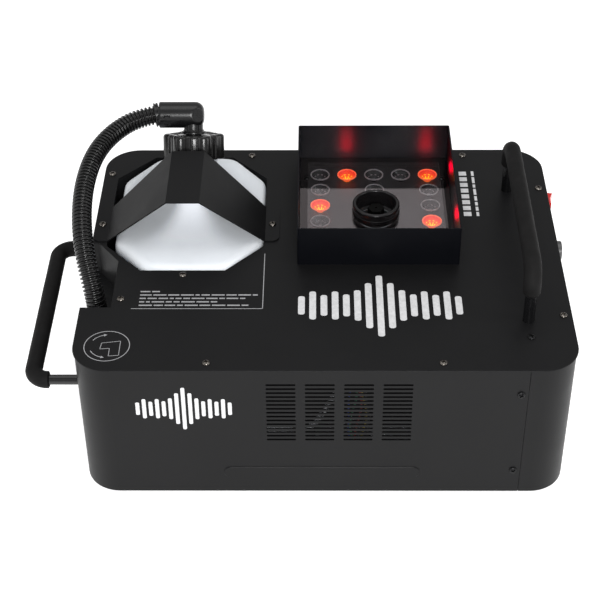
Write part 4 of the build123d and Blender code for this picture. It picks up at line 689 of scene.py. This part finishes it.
# ---------------------------------------------------------------- cap
LOBES = 6
SEG = 240
CAP_BODY_R = 0.0294
LOBE_REACH = 0.0255         # cap's middle to a lobe's middle
LOBE_R = 0.0085
RIB_ANGLE = 0.045           # half of the rib between two lobes
RIB_PROUD = 0.0013
STEP_FROM, STEP_TO = 0.16, 0.22
STEP_PROUD = 0.0005


def cap_radius(angle, shrink):
    """The cap's outline: a round body, six lobes and a rib between each two."""
    radius = CAP_BODY_R
    step = 2 * pi / LOBES
    off = (angle + step / 2) % step - step / 2
    under = LOBE_R**2 - (LOBE_REACH * sin(off)) ** 2
    if under > 0:
        radius = max(radius, LOBE_REACH * cos(off) + sqrt(under))
    off = abs(angle % step - step / 2)
    if off < RIB_ANGLE:
        radius = max(radius, CAP_BODY_R + RIB_PROUD * cos(off / RIB_ANGLE * pi / 2))
    if STEP_FROM < off < STEP_TO:
        radius += STEP_PROUD
    return radius - shrink


cap_shape = Shape()
half = 0.01375              # half of the cap's height
CAP_BORE_R = 0.0266
CAP_HOLE_R = 0.0088
DISH = 0.0008               # the lid's middle lies this far below its rim
LID = 0.0034
cap_levels = [
    (0.0012, -half), (0.0003, -half + 0.0006), (0.0, -half + 0.0014), (0.0, half - 0.0036),
    (0.0002, half - 0.0024), (0.0008, half - 0.0012), (0.0018, half - 0.0004), (0.0030, half), (0.0062, half),
    (0.0066, half - 0.0008), (0.0125, half - 0.0010),
]
rings = []
for shrink, height in cap_levels:
    ring = []
    for k in range(SEG):
        angle = 2 * pi * k / SEG
        radius = cap_radius(angle, shrink)
        if height > half - 0.0001 and shrink > 0.005:
            radius = min(radius, 0.0262)
        if shrink >= 0.0066:
            radius = 0.0258 if shrink < 0.01 else 0.0165
        ring.append(neck_place @ Vector((radius * cos(angle), radius * sin(angle), height)))
    rings.append(ring)
rings += [neck_ring(CAP_HOLE_R, half - DISH, SEG), neck_ring(CAP_HOLE_R, half - LID, SEG)]
rings += [neck_ring(CAP_BORE_R, half - LID, SEG), neck_ring(CAP_BORE_R, -half, SEG)]
cap_shape.rings(rings, closed=True)
LID_RIBS = 36
for k in range(LID_RIBS):
    angle = 2 * pi * k / LID_RIBS
    place = neck_place @ Matrix.Rotation(angle, 4, "Z") @ Matrix.Translation((0.0213, 0, half - 0.0010))
    cap_shape.prism(rectangle(0.006, 0.0008), 0.0, 0.0007, place, 0.0002)
cap = cap_shape.done("lobed_cap", cap_plastic, "cap", 28, ("tank_cap",))

# ---------------------------------------------------------------- elbow
elbow_high = Vector(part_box("elbow_body")[1])
barrel_r = 0.01448
barrel_y = elbow_high.y - 0.0145
barrel_z = elbow_high.z - 0.0145
barrel_left = hose_route[0][0]
barrel_right = elbow_high.x
elbow_shape = Shape()
corner = Vector((TANK_X, barrel_y, barrel_z))
leg_end = neck_place @ Vector((0, 0, half + 0.0040))
nose = 0.0100
stations = [(0.0, barrel_r - 0.0009), (0.00005, barrel_r - 0.0004), (0.0008, barrel_r)]
run = barrel_right - 0.0020 - nose - barrel_left
stations += [(0.0008 + (run - 0.0008) * k / 24, barrel_r) for k in range(1, 25)]
for k in range(1, 17):
    angle = pi / 2 * k / 16
    stations.append((run + nose * sin(angle), barrel_r - nose + nose * cos(angle)))
for k in range(1, 6):
    stations.append((run + nose, (barrel_r - nose) * (1 - k / 5)))
# The outer corner is planed off to an oval flat.
flat_out = Vector((0.46, -0.74, 0.42)).normalized()
flat_at = 0.0126
barrel_axis = frame_at((barrel_left, barrel_y, barrel_z), (1, 0, 0), (0, 0, 1))
elbow_shape.lathe([(r, x) for x, r in stations], barrel_axis, 96)
for i, vert in enumerate(elbow_shape.verts):
    out = (vert - corner).dot(flat_out) - flat_at
    if out > 0:
        elbow_shape.verts[i] = vert - flat_out * out
leg = [corner.lerp(leg_end, k / 6) for k in range(7)]
elbow_shape.rings(along(leg, 0.0106, 64))
elbow_shape.lathe(
    [
        (0.0100, 0.0000), (0.0141, 0.0002), (barrel_r, 0.0008), (barrel_r, 0.0030), (0.0139, 0.0034),
        (0.0100, 0.0036),
    ],
    barrel_axis, 64, True,
)
elbow_shape.lathe(
    [
        (0.0085, half - 0.0030), (0.0085, half + 0.0003), (0.0136, half + 0.0003), (0.01425, half + 0.0008),
        (0.01425, half + 0.0021), (0.0136, half + 0.0028), (0.0118, half + 0.0032), (0.0109, half + 0.0050),
        (0.0085, half + 0.0052),
    ],
    neck_place, 72, True,
)
for turn in range(4):
    spin = Matrix.Rotation(pi / 2 * turn + pi / 4, 4, "Z")
    place = neck_place @ spin @ Matrix.Translation((0.0100, 0, half + 0.0028))
    elbow_shape.prism(rectangle(0.0030, 0.0040), 0.0, 0.0080, place, 0.0006)
elbow = elbow_shape.done("hose_elbow", elbow_plastic, "case", 40, ("elbow_body",))

# The latch window on the barrel.
window_shape = Shape()
window_at = (barrel_left + 0.0093, barrel_y - 0.0137, barrel_z + 0.0012)
window_place = frame_at(window_at, (0, -1, 0.08), (1, 0, 0))
outer = rectangle(0.0074, 0.0122, 0.0012)
inner = rectangle(0.0050, 0.0098, 0.0008)
frame_rings = []
for size, high in ((outer, 0.0), (outer, 0.0007), (inner, 0.0007), (inner, -0.0012)):
    frame_rings.append([window_place @ Vector((p[0], p[1], high - 0.0003)) for p in size])
window_shape.rings(frame_rings, close_start=True, close_end=True)
for k in (-1, 1):
    place = window_place @ Matrix.Translation((0.0013 * k, 0, 0))
    window_shape.prism(rectangle(0.0010, 0.0092), -0.0012, 0.0003, place, 0.0002)
window_shape.done("elbow_latch_window", elbow_plastic, "case")

# ---------------------------------------------------------------- screws
HEAD_RINGS = 15
HEAD_SEGMENTS = 48


def pan_head():
    """A pan head one unit in radius and in height, with a cross recess, as a grid of rings."""
    shape = Shape()
    for i in range(HEAD_RINGS + 1):
        share = i / HEAD_RINGS
        dome = sqrt(1 - 0.72 * share**2) - 0.20 * max(0, share - 0.85) / 0.15
        for x, y, z in circle(share, dome, Matrix.Identity(4), HEAD_SEGMENTS):
            low, high = sorted((abs(x), abs(y)))
            in_cross = low < 0.145 and high < 0.60
            shape.verts.append(Vector((x, y, z - 0.62 if in_cross else z)))
    shape.verts += circle(1.0, 0.0, Matrix.Identity(4), HEAD_SEGMENTS)
    for i in range(1, HEAD_RINGS + 2):
        a = i * HEAD_SEGMENTS
        for j in range(HEAD_SEGMENTS):
            k = (j + 1) % HEAD_SEGMENTS
            shape.faces.append((a + j, a + k, a - HEAD_SEGMENTS + k, a - HEAD_SEGMENTS + j))
    return shape


def screw_heads(name, nodes, mat, heads, radius, height):
    """Each head faces its normal, with its cross turned at random."""
    places = [frame_at(at, normal) @ Matrix.Rotation(random.uniform(0, pi), 4, "Z") for at, normal in heads]
    repeated(name, pan_head(), places, mat, radius, height, 38, nodes)


M4_HEAD_R, M4_HEAD_H = 0.0040, 0.0022
M3_HEAD_R, M3_HEAD_H = 0.0030, 0.0019
plate_screws = [
    (-0.2409, 0.1444), (-0.0829, 0.1816), (0.1605, 0.1816), (0.241, 0.1149), (0.241, -0.1093),
    (0.1153, -0.1822), (-0.1161, -0.1822), (-0.2093, -0.0826), (-0.1482, -0.0426),
]
up = (0, 0, 1)
guard_low, guard_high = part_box("tank_guard")
guard_mid = (guard_low[0] + guard_high[0]) / 2
heads = [((CASE_X + x, y, TOP), up) for x, y in plate_screws]
heads += [((guard_mid + side * 0.0925, DECK_MIN.y + 0.239, TOP + 0.0015), up) for side in (-1, 1)]
screw_heads("deck_screw_heads", ("top_screws",), screw_steel, heads, M4_HEAD_R, M4_HEAD_H)
bar_x = middle("top_handle_rod").x
heads = [((bar_x, y, TOP), up) for y in (-0.1434, 0.1274)]
screw_heads("handle_screw_heads", (), black_oxide, heads, M4_HEAD_R, M4_HEAD_H)
OVERHANG = 0.0014            # how far the plate stands past the walls
seam_x = CASE_X + 0.1995 - 0.007
heads = []
for drop in (0.0322, 0.1362):
    heads.append(((seam_x, DECK_MIN.y + OVERHANG, TOP - drop), (0, -1, 0)))
    heads.append(((seam_x, DECK_MAX.y - OVERHANG, TOP - drop), (0, 1, 0)))
fan_mid = middle("fan_frame")
FAN_SCREW = 0.0358           # fan's middle to a screw, across and up
FAN_Z = 0.092
for sx in (-1, 1):
    for sz in (-1, 1):
        at = (fan_mid.x + sx * FAN_SCREW, DECK_MAX.y - OVERHANG, FAN_Z + sz * FAN_SCREW)
        heads.append((at, (0, 1, 0)))
for fx in (-0.2, 0.2):
    for fy in (-0.15, 0.15):
        heads.append(((CASE_X + fx, fy, 0.005), (0, 0, -1)))
screw_heads("case_screw_heads", ("case_screws",), black_oxide, heads, M4_HEAD_R, M4_HEAD_H)
pane_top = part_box("led_window")[1][2]
head_mid = middle("led_window")
heads = []
for sx in (-1, 1):
    for dy in (0.055, -0.070):
        heads.append(((head_mid.x + sx * 0.076, head_mid.y + dy, pane_top), up))
screw_heads("window_screw_heads", ("window_screws",), black_oxide, heads, M3_HEAD_R, M3_HEAD_H)


# ---------------------------------------------------------------- handles
def arc_path(points, radius, step=0.004):
    """Straight runs joined by arcs, with evenly spaced points."""
    points = [Vector(p) for p in points]
    made = [points[0]]
    for a, b, c in zip(points, points[1:], points[2:]):
        u = (a - b).normalized()
        v = (c - b).normalized()
        start = b + u * radius
        end = b + v * radius
        centre = b + (u + v) * radius
        parts = max(2, int((start - made[-1]).length / step))
        for k in range(parts):
            made.append(made[-1].lerp(start, 1 / (parts - k)))
        for k in range(1, 15):
            angle = pi / 2 * k / 14
            made.append(centre - v * radius * cos(angle) - u * radius * sin(angle))
    last = made[-1]
    parts = max(2, int((points[-1] - last).length / step))
    made += [last.lerp(points[-1], k / parts) for k in range(1, parts + 1)]
    return made


def grip(name, node, route, radius, bend, bore):
    """A foam sleeve with rounded ends, a little uneven along its length."""
    path = arc_path(route, bend)
    total = [0.0]
    for a, b in zip(path, path[1:]):
        total.append(total[-1] + (b - a).length)

    def swell(share):
        return bore + (radius - bore) * min(1.0, sqrt(share) * 1.02)

    end_shares = (0.0, 0.02, 0.15, 0.4, 0.7, 1.0)
    points = [path[0].lerp(path[1], share * 0.9) for share in end_shares]
    radii = [swell(share) for share in end_shares]
    for p, s in zip(path[1:-1], total[1:-1]):
        points.append(p)
        radii.append(radius - 0.00012 + 0.0001 * sin(s * 90.0) * sin(s * 41.0 + 1.0))
    for share in reversed(end_shares):
        points.append(path[-1].lerp(path[-2], share * 0.9))
        radii.append(swell(share))
    shape = Shape().rings(along(points, radii, 48))
    made = shape.done(name, foam_rubber, "case", 60, (node,))


low, high = (Vector(p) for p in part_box("side_handle_grip"))
r = 0.009
x = low.x + r
y0 = low.y + r
y1 = high.y - r
z = (low.z + high.z) / 2
route = [(high.x, y0, z), (x, y0, z), (x, y1, z), (high.x, y1, z)]
grip("side_grip", "side_handle_grip", route, r, 0.016, 0.0054)
low, high = (Vector(p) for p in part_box("top_handle_grip"))
x = (low.x + high.x) / 2
y0 = low.y + r
y1 = high.y - r
z = high.z - r
route = [(x, y0, low.z), (x, y0, z), (x, y1, z), (x, y1, low.z)]
grip("top_grip", "top_handle_grip", route, r, 0.022, 0.0061)

# ---------------------------------------------------------------- LED head
ring_mid = middle("nozzle_ring")
board_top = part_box("led_lenses")[0][2]
head_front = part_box("led_shroud")[0][1]
cols = [head_mid.x + (c - 2) * 0.0305 for c in range(5)]
rows = [head_front + 0.0185 + r * 0.0298 for r in range(6)]
lit = {(5, 1), (5, 4), (3, 0), (2, 4), (1, 1)}
BOWL = [
    (0.0, 0.0003), (0.0026, 0.0003), (0.0034, 0.0008), (0.0066, 0.0042), (0.0094, 0.0074), (0.0099, 0.0078),
    (0.0103, 0.0078), (0.0100, 0.0070), (0.0070, 0.0036), (0.0038, 0.0001), (0.0, 0.0001),
]
RIM = [
    (0.0094, 0.0070), (0.0096, 0.0080), (0.0100, 0.0084), (0.0105, 0.0084), (0.0109, 0.0080),
    (0.0108, 0.0070),
]
lit_places = []
dark_places = []
for row in range(6):
    for col in range(5):
        if not (row in (0, 1, 5) or col in (0, 4) or (row == 4 and col == 2)):
            continue
        place = Matrix.Translation((cols[col], rows[row], board_top))
        (lit_places if (row, col) in lit else dark_places).append(place)


def led_die(glare_petals):
    """Moulded facets low inside the bowl, and the die, with its petals when lit; the petals are painted
    glare, glowing shapes round a lit die.
    """
    shape = Shape()
    for k in range(8):
        turn = Matrix.Rotation(2 * pi * k / 8 + pi / 8, 4, "Z")
        lean = turn @ Matrix.Translation((0.0060, 0, 0.0036)) @ Matrix.Rotation(radians(-50), 4, "Y")
        shape.prism(rectangle(0.0007, 0.0021, 0.0003, 2), -0.0001, 0.0003, lean)
    shape.prism(rectangle(0.0034, 0.0034, 0.0006, 3), 0.0002, 0.0012, Matrix.Identity(4), 0.0003)
    for k in range(glare_petals):
        turn = Matrix.Rotation(2 * pi * k / glare_petals, 4, "Z")
        stem = turn @ Matrix.Translation((0.0022, 0, 0.0006)) @ Matrix.Rotation(radians(30), 4, "Y")
        shape.prism(rectangle(0.0009, 0.0009, 0.0003, 2), 0.0, 0.0030, stem, 0.0003)
    return shape


def red_light(name, at, aim, power, size, spread=radians(110)):
    light = bpy.data.lights.new(name, "SPOT")
    light.color = (1.0, 0.0, 0.022)
    light.energy = power
    light.spot_size = spread
    light.spot_blend = 1.0
    light.shadow_soft_size = size
    lamp = bpy.data.objects.new(name, light)
    lamp.location = at
    lamp.rotation_euler = Vector(aim).to_track_quat("-Z", "Y").to_euler()
    scene.collection.objects.link(lamp)


back_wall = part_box("led_shroud")[1][1] - 0.0015
right_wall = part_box("led_shroud")[1][0] - 0.0015
for row, col in sorted(lit):
    x, y = cols[col], rows[row]
    red_light(f"led_beam_{row}_{col}", (x, y, pane_top + 0.002), (0, 0, 1), 0.05, 0.004)
    if row == 5:
        for step in range(3):
            at = (x, back_wall - 0.017, pane_top + 0.004 + 0.011 * step)
            power = 0.080 - 0.026 * step
            red_light(f"back_glow_{col}_{step}", at, (0, 1.0, 0.25), power, 0.007, radians(118))
    if col == 4:
        at = (right_wall - 0.013, y - 0.002, pane_top + 0.008)
        red_light(f"side_glow_{row}", at, (0.8, -0.2, 0.4), 0.10, 0.006, radians(125))

bowl_black = Finish("bowl_black", (0.0035, 0.0028, 0.003), 0.10)
bowl_black.mottle(0.004, 0.8, 1.2).uneven(0.003, 0.04).grain(0.002, 0.00002)
# Painted reflection: unlit LEDs' rims, dies and facets are a pale pink standing in for what the clear lens
# reflects.
rim_painted_reflection = Finish("rim_painted_reflection", (0.80, 0.70, 0.72), 0.25, 0.0)
rim_painted_reflection.mottle(0.004, 0.6, 1.2).uneven(0.003, 0.05).grain(0.001, 0.00002)
facet_and_die_painted_reflection = Finish("facet_and_die_painted_reflection", (0.80, 0.62, 0.64), 0.15, 0.2)
facet_and_die_painted_reflection.mottle(0.002, 0.7, 1.2).uneven(0.002, 0.05).grain(0.001, 0.00002)


def lit_finish(name, colour, strength, dark, light):
    """A glowing surface whose strength wanders a little: the lit die, and painted glow on the parts round it.
    """
    made = Finish(name, colour, 0.3)
    made.mottle(0.003, 0.9, 1.1)
    made.set("Emission Color", (*colour, 1.0))
    wander = made.ramp(made.noise(0.003, 2.0), 0.3, 0.7, strength * dark, strength * light)
    made.link(wander, made.shader.inputs["Emission Strength"])
    return made.mat


# Painted glow: a lit LED's bowl glows orange low down and red at its lip, and its rim glows red, standing in
# for the die's light falling on them.
bowl_painted_glow = Finish("bowl_painted_glow", (0.5, 0.01, 0.005), 0.3)
bowl_painted_glow.mottle(0.003, 0.85, 1.1)
apart = bowl_painted_glow.node("ShaderNodeSeparateXYZ")
bowl_painted_glow.link(bowl_painted_glow.where, apart.inputs["Vector"])
rise = bowl_painted_glow.ramp(apart.outputs["Z"], board_top + 0.0004, board_top + 0.0076, 0.0, 1.0)
blend = bowl_painted_glow.node("ShaderNodeMix", data_type="RGBA")
bowl_painted_glow.link(rise, blend.inputs["Factor"])
blend.inputs["A"].default_value = (1.0, 0.17, 0.006, 1.0)
blend.inputs["B"].default_value = (0.95, 0.012, 0.010, 1.0)
bowl_painted_glow.link(blend.outputs["Result"], bowl_painted_glow.shader.inputs["Emission Color"])
bowl_painted_glow.link(bowl_painted_glow.ramp(rise, 0.0, 1.0, 1.15, 0.85), bowl_painted_glow.shader.inputs["Emission Strength"])
rim_painted_glow = lit_finish("rim_painted_glow", (1.0, 0.15, 0.055), 0.95, 0.8, 1.15)
# The die is the light itself; its glow also colours the facets and the petals of painted glare.
die_glow_and_painted_glare = lit_finish("die_glow_and_painted_glare", (1.0, 0.60, 0.012), 1.25, 0.9, 1.2)
bowl = Shape().lathe(BOWL, Matrix.Identity(4), 48)
rim = Shape().lathe(RIM, Matrix.Identity(4), 56, True)
for name, shape, mat, places, replaced in (
    ("led_bowls", bowl, bowl_black.mat, dark_places, ("led_lenses",)),
    ("led_rims", rim, rim_painted_reflection.mat, dark_places, ()),
    ("led_dies", led_die(0), facet_and_die_painted_reflection.mat, dark_places, ()),
    ("led_lit_bowls", bowl, bowl_painted_glow.mat, lit_places, ()),
    ("led_lit_rims", rim, rim_painted_glow, lit_places, ()),
    ("led_lit_dies", led_die(6), die_glow_and_painted_glare, lit_places, ()),
):
    repeated(name, shape, places, mat, sharp=40, replaces=replaced)

# Black nozzle ring: turned tiers with a bright groove line between them.
ring_low, ring_high = (Vector(p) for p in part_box("nozzle_ring"))
ring_shape = Shape()
ring_place = Matrix.Translation((ring_mid.x, ring_mid.y, 0))
r0 = 0.026
z0 = pane_top
z1 = ring_high.z
profile = [
    (0.0215, ring_low.z), (0.0229, ring_low.z), (0.0229, z0), (r0 - 0.0004, z0), (r0, z0 + 0.0004),
    (r0, z0 + 0.0040), (r0 - 0.0003, z0 + 0.0044), (r0 - 0.0011, z0 + 0.0046), (r0 - 0.0011, z0 + 0.0052),
    (r0 - 0.0005, z0 + 0.0055), (r0 - 0.0003, z0 + 0.0059), (r0 - 0.0003, z1 - 0.0016),
    (r0 - 0.0006, z1 - 0.0009), (r0 - 0.0014, z1 - 0.0003), (r0 - 0.0022, z1), (0.0226, z1),
    (0.0220, z1 - 0.0003), (0.0215, z1 - 0.0012),
]
ring_shape.lathe(profile, ring_place, 128, True)
ring = ring_shape.done("nozzle_collar", turned_black, "case", 40, ("nozzle_ring",))

# ---------------------------------------------------------------- wires behind the vents
wire_low, wire_high = (Vector(p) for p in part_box("control_wires"))
wire_node = middle("control_wires")
WIRE_R = 0.00108
WIRE_PITCH = 0.0050
for k, finish in enumerate(wire_finishes):
    x = wire_low.x + 0.0011 + WIRE_PITCH * k
    points = []
    for i in range(33):
        t = i / 32
        sway = 0.0030 * sin(2.2 * pi * t + k * 1.1)
        aside = min(max(x + sway, wire_low.x + 0.0012), wire_high.x - 0.0012)
        points.append((aside, wire_node.y, wire_low.z + (wire_high.z - wire_low.z) * t))
    shape = Shape().rings(along(points, WIRE_R, 14))
    made = shape.done(f"control_wire_{k}", finish, "case", 60, ("control_wires",) if k == 0 else ())


# ---------------------------------------------------------------- printed marks
def flat_print(name, shape_list, place, mat):
    """Thin ink on a surface: flat outlines, each a hair proud."""
    shape = Shape()
    for outline in shape_list:
        shape.prism(outline, -0.00002, 0.00005, place)
    made = shape.done(name, mat, "case")
    return made


def strip(a, b, width):
    """A straight stroke between two points."""
    a = Vector(a)
    b = Vector(b)
    n = (b - a).normalized()
    n = Vector((-n.y, n.x)) * width / 2
    return [tuple(a - n), tuple(b - n), tuple(b + n), tuple(a + n)]


def arc_strip(centre, radius, start, end, width, count=24):
    """A curved stroke, as several short ones."""
    made = []
    inner = radius - width / 2
    outer = radius + width / 2
    for k in range(count):
        t0 = radians(start + (end - start) * k / count)
        t1 = radians(start + (end - start) * (k + 1) / count)
        corners = ((t0, inner), (t0, outer), (t1, outer), (t1, inner))
        made.append([(centre[0] + r * cos(t), centre[1] + r * sin(t)) for t, r in corners])
    return made


def wave_mark(width, height):
    """A plain mark: a row of rounded bars that swells and fades like a sound wave."""
    made = []
    shares = (0.30, 0.46, 0.34, 0.46, 0.36, 0.50, 0.74, 1.0, 0.74, 0.50, 0.36, 0.46, 0.34, 0.46, 0.30)
    for k, tall in enumerate(shares):
        bar = rounded(rectangle(width * 0.040, height * tall), width * 0.0195, 6)
        x = (k - (len(shares) - 1) / 2) * width / len(shares)
        made.append([(x + px, py) for px, py in bar])
    return made


deck_plane = Matrix.Translation((CASE_X, 0, TOP))
front_plane = frame_at((CASE_X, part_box("end_cover")[0][1], 0), (0, -1, 0), (1, 0, 0))
deck_y = DECK_MIN.y
mark = [[(x + 0.0565, y + deck_y + 0.1010) for x, y in outline] for outline in wave_mark(0.172, 0.098)]
flat_print("deck_mark", mark, deck_plane, printed_ink)
mark = [[(x - 0.1400, y + TOP - 0.0510) for x, y in outline] for outline in wave_mark(0.098, 0.056)]
flat_print("front_mark", mark, front_plane, printed_ink)

lines = [
    strip((-0.1974, deck_y + 0.0957), (-0.0630, deck_y + 0.0957), 0.0008),
    strip((-0.0633, deck_y + 0.0953), (-0.0633, deck_y + 0.1880), 0.0008),
]
flat_print("deck_rule", lines, deck_plane, thin_printed_ink)
bars = []
rng = random.Random(5)
for k, length in enumerate((0.020, 0.124, 0.112, 0.080, 0.114)):
    y = deck_y + 0.1235 - k * 0.0056
    x = -0.1900
    while x < -0.1900 + length:
        word = min(rng.uniform(0.004, 0.014), -0.1900 + length - x)
        if word > 0.002:
            bars.append(strip((x, y), (x + word, y), 0.0019))
        x += word + 0.0018
flat_print("deck_ruled_lines", bars, deck_plane, thin_printed_ink)
side_bars = []
for k in range(8):
    y = deck_y + 0.2560 + k * 0.0112
    side_bars.append(strip((0.1578, y), (0.1578, y + 0.0078), 0.0085))
y = deck_y + 0.2560
while y < deck_y + 0.3420:
    word = rng.uniform(0.006, 0.015)
    side_bars.append(strip((0.1690, y), (0.1690, min(y + word, deck_y + 0.3430)), 0.0030))
    y += word + 0.0026
flat_print("deck_side_bars", side_bars, deck_plane, printed_ink)
centre = (-0.2158, deck_y + 0.0374)
icon = arc_strip(centre, 0.0225, 0, 360, 0.0008, 72)
icon += arc_strip(centre, 0.0170, 105, 150, 0.0008, 12) + arc_strip(centre, 0.0170, 205, 255, 0.0008, 12)
for at, turn in ((105, 15), (255, 345)):
    tip = Vector((centre[0] + 0.0170 * cos(radians(at)), centre[1] + 0.0170 * sin(radians(at))))
    ahead = Vector((cos(radians(turn)), sin(radians(turn))))
    side = Vector((-ahead.y, ahead.x))
    icon.append([tuple(tip + ahead * 0.0034), tuple(tip + side * 0.0017), tuple(tip - side * 0.0017)])
bend = [
    (-0.0055, 0.0045), (0.0130, 0.0075), (0.0130, -0.0140), (0.0030, -0.0150), (0.0030, -0.0035),
    (-0.0065, -0.0045),
]
bend = [(centre[0] + x, centre[1] + y) for x, y in bend]
icon += [strip(a, b, 0.0006) for a, b in zip(bend, bend[1:] + bend[:1])]
flat_print("turn_icon", icon, deck_plane, thin_printed_ink)

# ---------------------------------------------------------------- CAD finishes
finishes = {
    "body_wrap": case_paint, "end_cover": case_paint, "top_cover": deck_paint, "bottom_pan": case_paint,
    "tank_guard": deck_paint, "led_shroud": head_paint, "hose_recess": recess_paint, "tank_bay": recess_paint,
    "hose_gland": cap_plastic, "cap_seal": foot_rubber, "rubber_feet": foot_rubber,
    "suction_tube": hose_plastic,
    "side_handle_rod": bar_enamel, "top_handle_rod": bar_enamel, "handle_nuts": zinc_sheet,
    "led_window": clear_pane, "display_window": display_glass, "led_board": circuit_board,
    "main_board": circuit_board, "remote_socket": grey_metal, "nozzle_pipe": near_black_steel,
    "pump_body": machined_brass, "heat_shield": zinc_sheet, "heater_bracket": zinc_sheet,
    "pump_frame": zinc_sheet, "power_supply": zinc_sheet, "thermostat": zinc_sheet,
    "heater_block": cast_alloy, "heater_elements": zinc_sheet, "pump_plunger": zinc_sheet,
    "heater_jacket": mineral_wool, "pump_coil": coil_winding, "fluid_lines": milky_plastic,
    "switch_bezel": socket_plastic, "power_inlet": socket_plastic, "fuse_holder": socket_plastic,
    "fuse_cap": socket_plastic, "dmx_sockets": socket_plastic, "display_module": socket_plastic,
    "fan_frame": socket_plastic, "fan_rotor": socket_plastic, "switch_rocker": rocker_plastic,
    "menu_button_1": key_plastic, "menu_button_2": key_plastic, "menu_button_3": key_plastic,
    "menu_button_4": key_plastic,
}
for name, finish in finishes.items():
    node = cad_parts[name]
    if not node.material_slots:
        node.data.materials.append(finish)
    for held in node.material_slots:
        held.material = finish


# ---------------------------------------------------------------- studio
floor_mat = Finish("studio_floor", (0.88, 0.88, 0.88), 0.7)
floor_mat.mottle(0.4, 0.995, 1.005).uneven(0.2, 0.02).grain(0.01, 0.00002)
floor_mat.set("Emission Color", (1.0, 1.0, 1.0, 1.0))
floor_mat.set("Emission Strength", 0.60)
FLOOR_Z = -0.0005
corners = [(-6, -6, FLOOR_Z), (6, -6, FLOOR_Z), (6, 8, FLOOR_Z), (-6, 8, FLOOR_Z)]
floor = mesh_object("floor", corners, [(0, 1, 2, 3)], floor_mat.mat)

world = bpy.data.worlds.new("studio")
scene.world = world
world.use_nodes = True
world.node_tree.nodes["Background"].inputs["Color"].default_value = (1.0, 1.0, 1.0, 1.0)
world.node_tree.nodes["Background"].inputs["Strength"].default_value = 0.50


def softbox(name, at, target, width, height, power, color=(1, 1, 1)):
    light = bpy.data.lights.new(name, "AREA")
    light.shape = "RECTANGLE"
    light.size = width
    light.size_y = height
    light.energy = power
    light.color = color
    lamp = bpy.data.objects.new(name, light)
    lamp.location = at
    lamp.rotation_euler = (Vector(target) - Vector(at)).to_track_quat("-Z", "Y").to_euler()
    scene.collection.objects.link(lamp)


softbox("over", (0.0, 0.4, 2.2), (0, 0, 0.1), 1.6, 1.2, 9)
softbox("left", (-2.0, -0.6, 1.1), (0, 0, 0.1), 0.8, 1.5, 6)
softbox("right", (2.0, -0.5, 1.1), (0, 0, 0.1), 0.8, 1.5, 11)
softbox("key", (0.10, -1.9, 1.35), (0, 0, 0.15), 0.6, 0.45, 29)
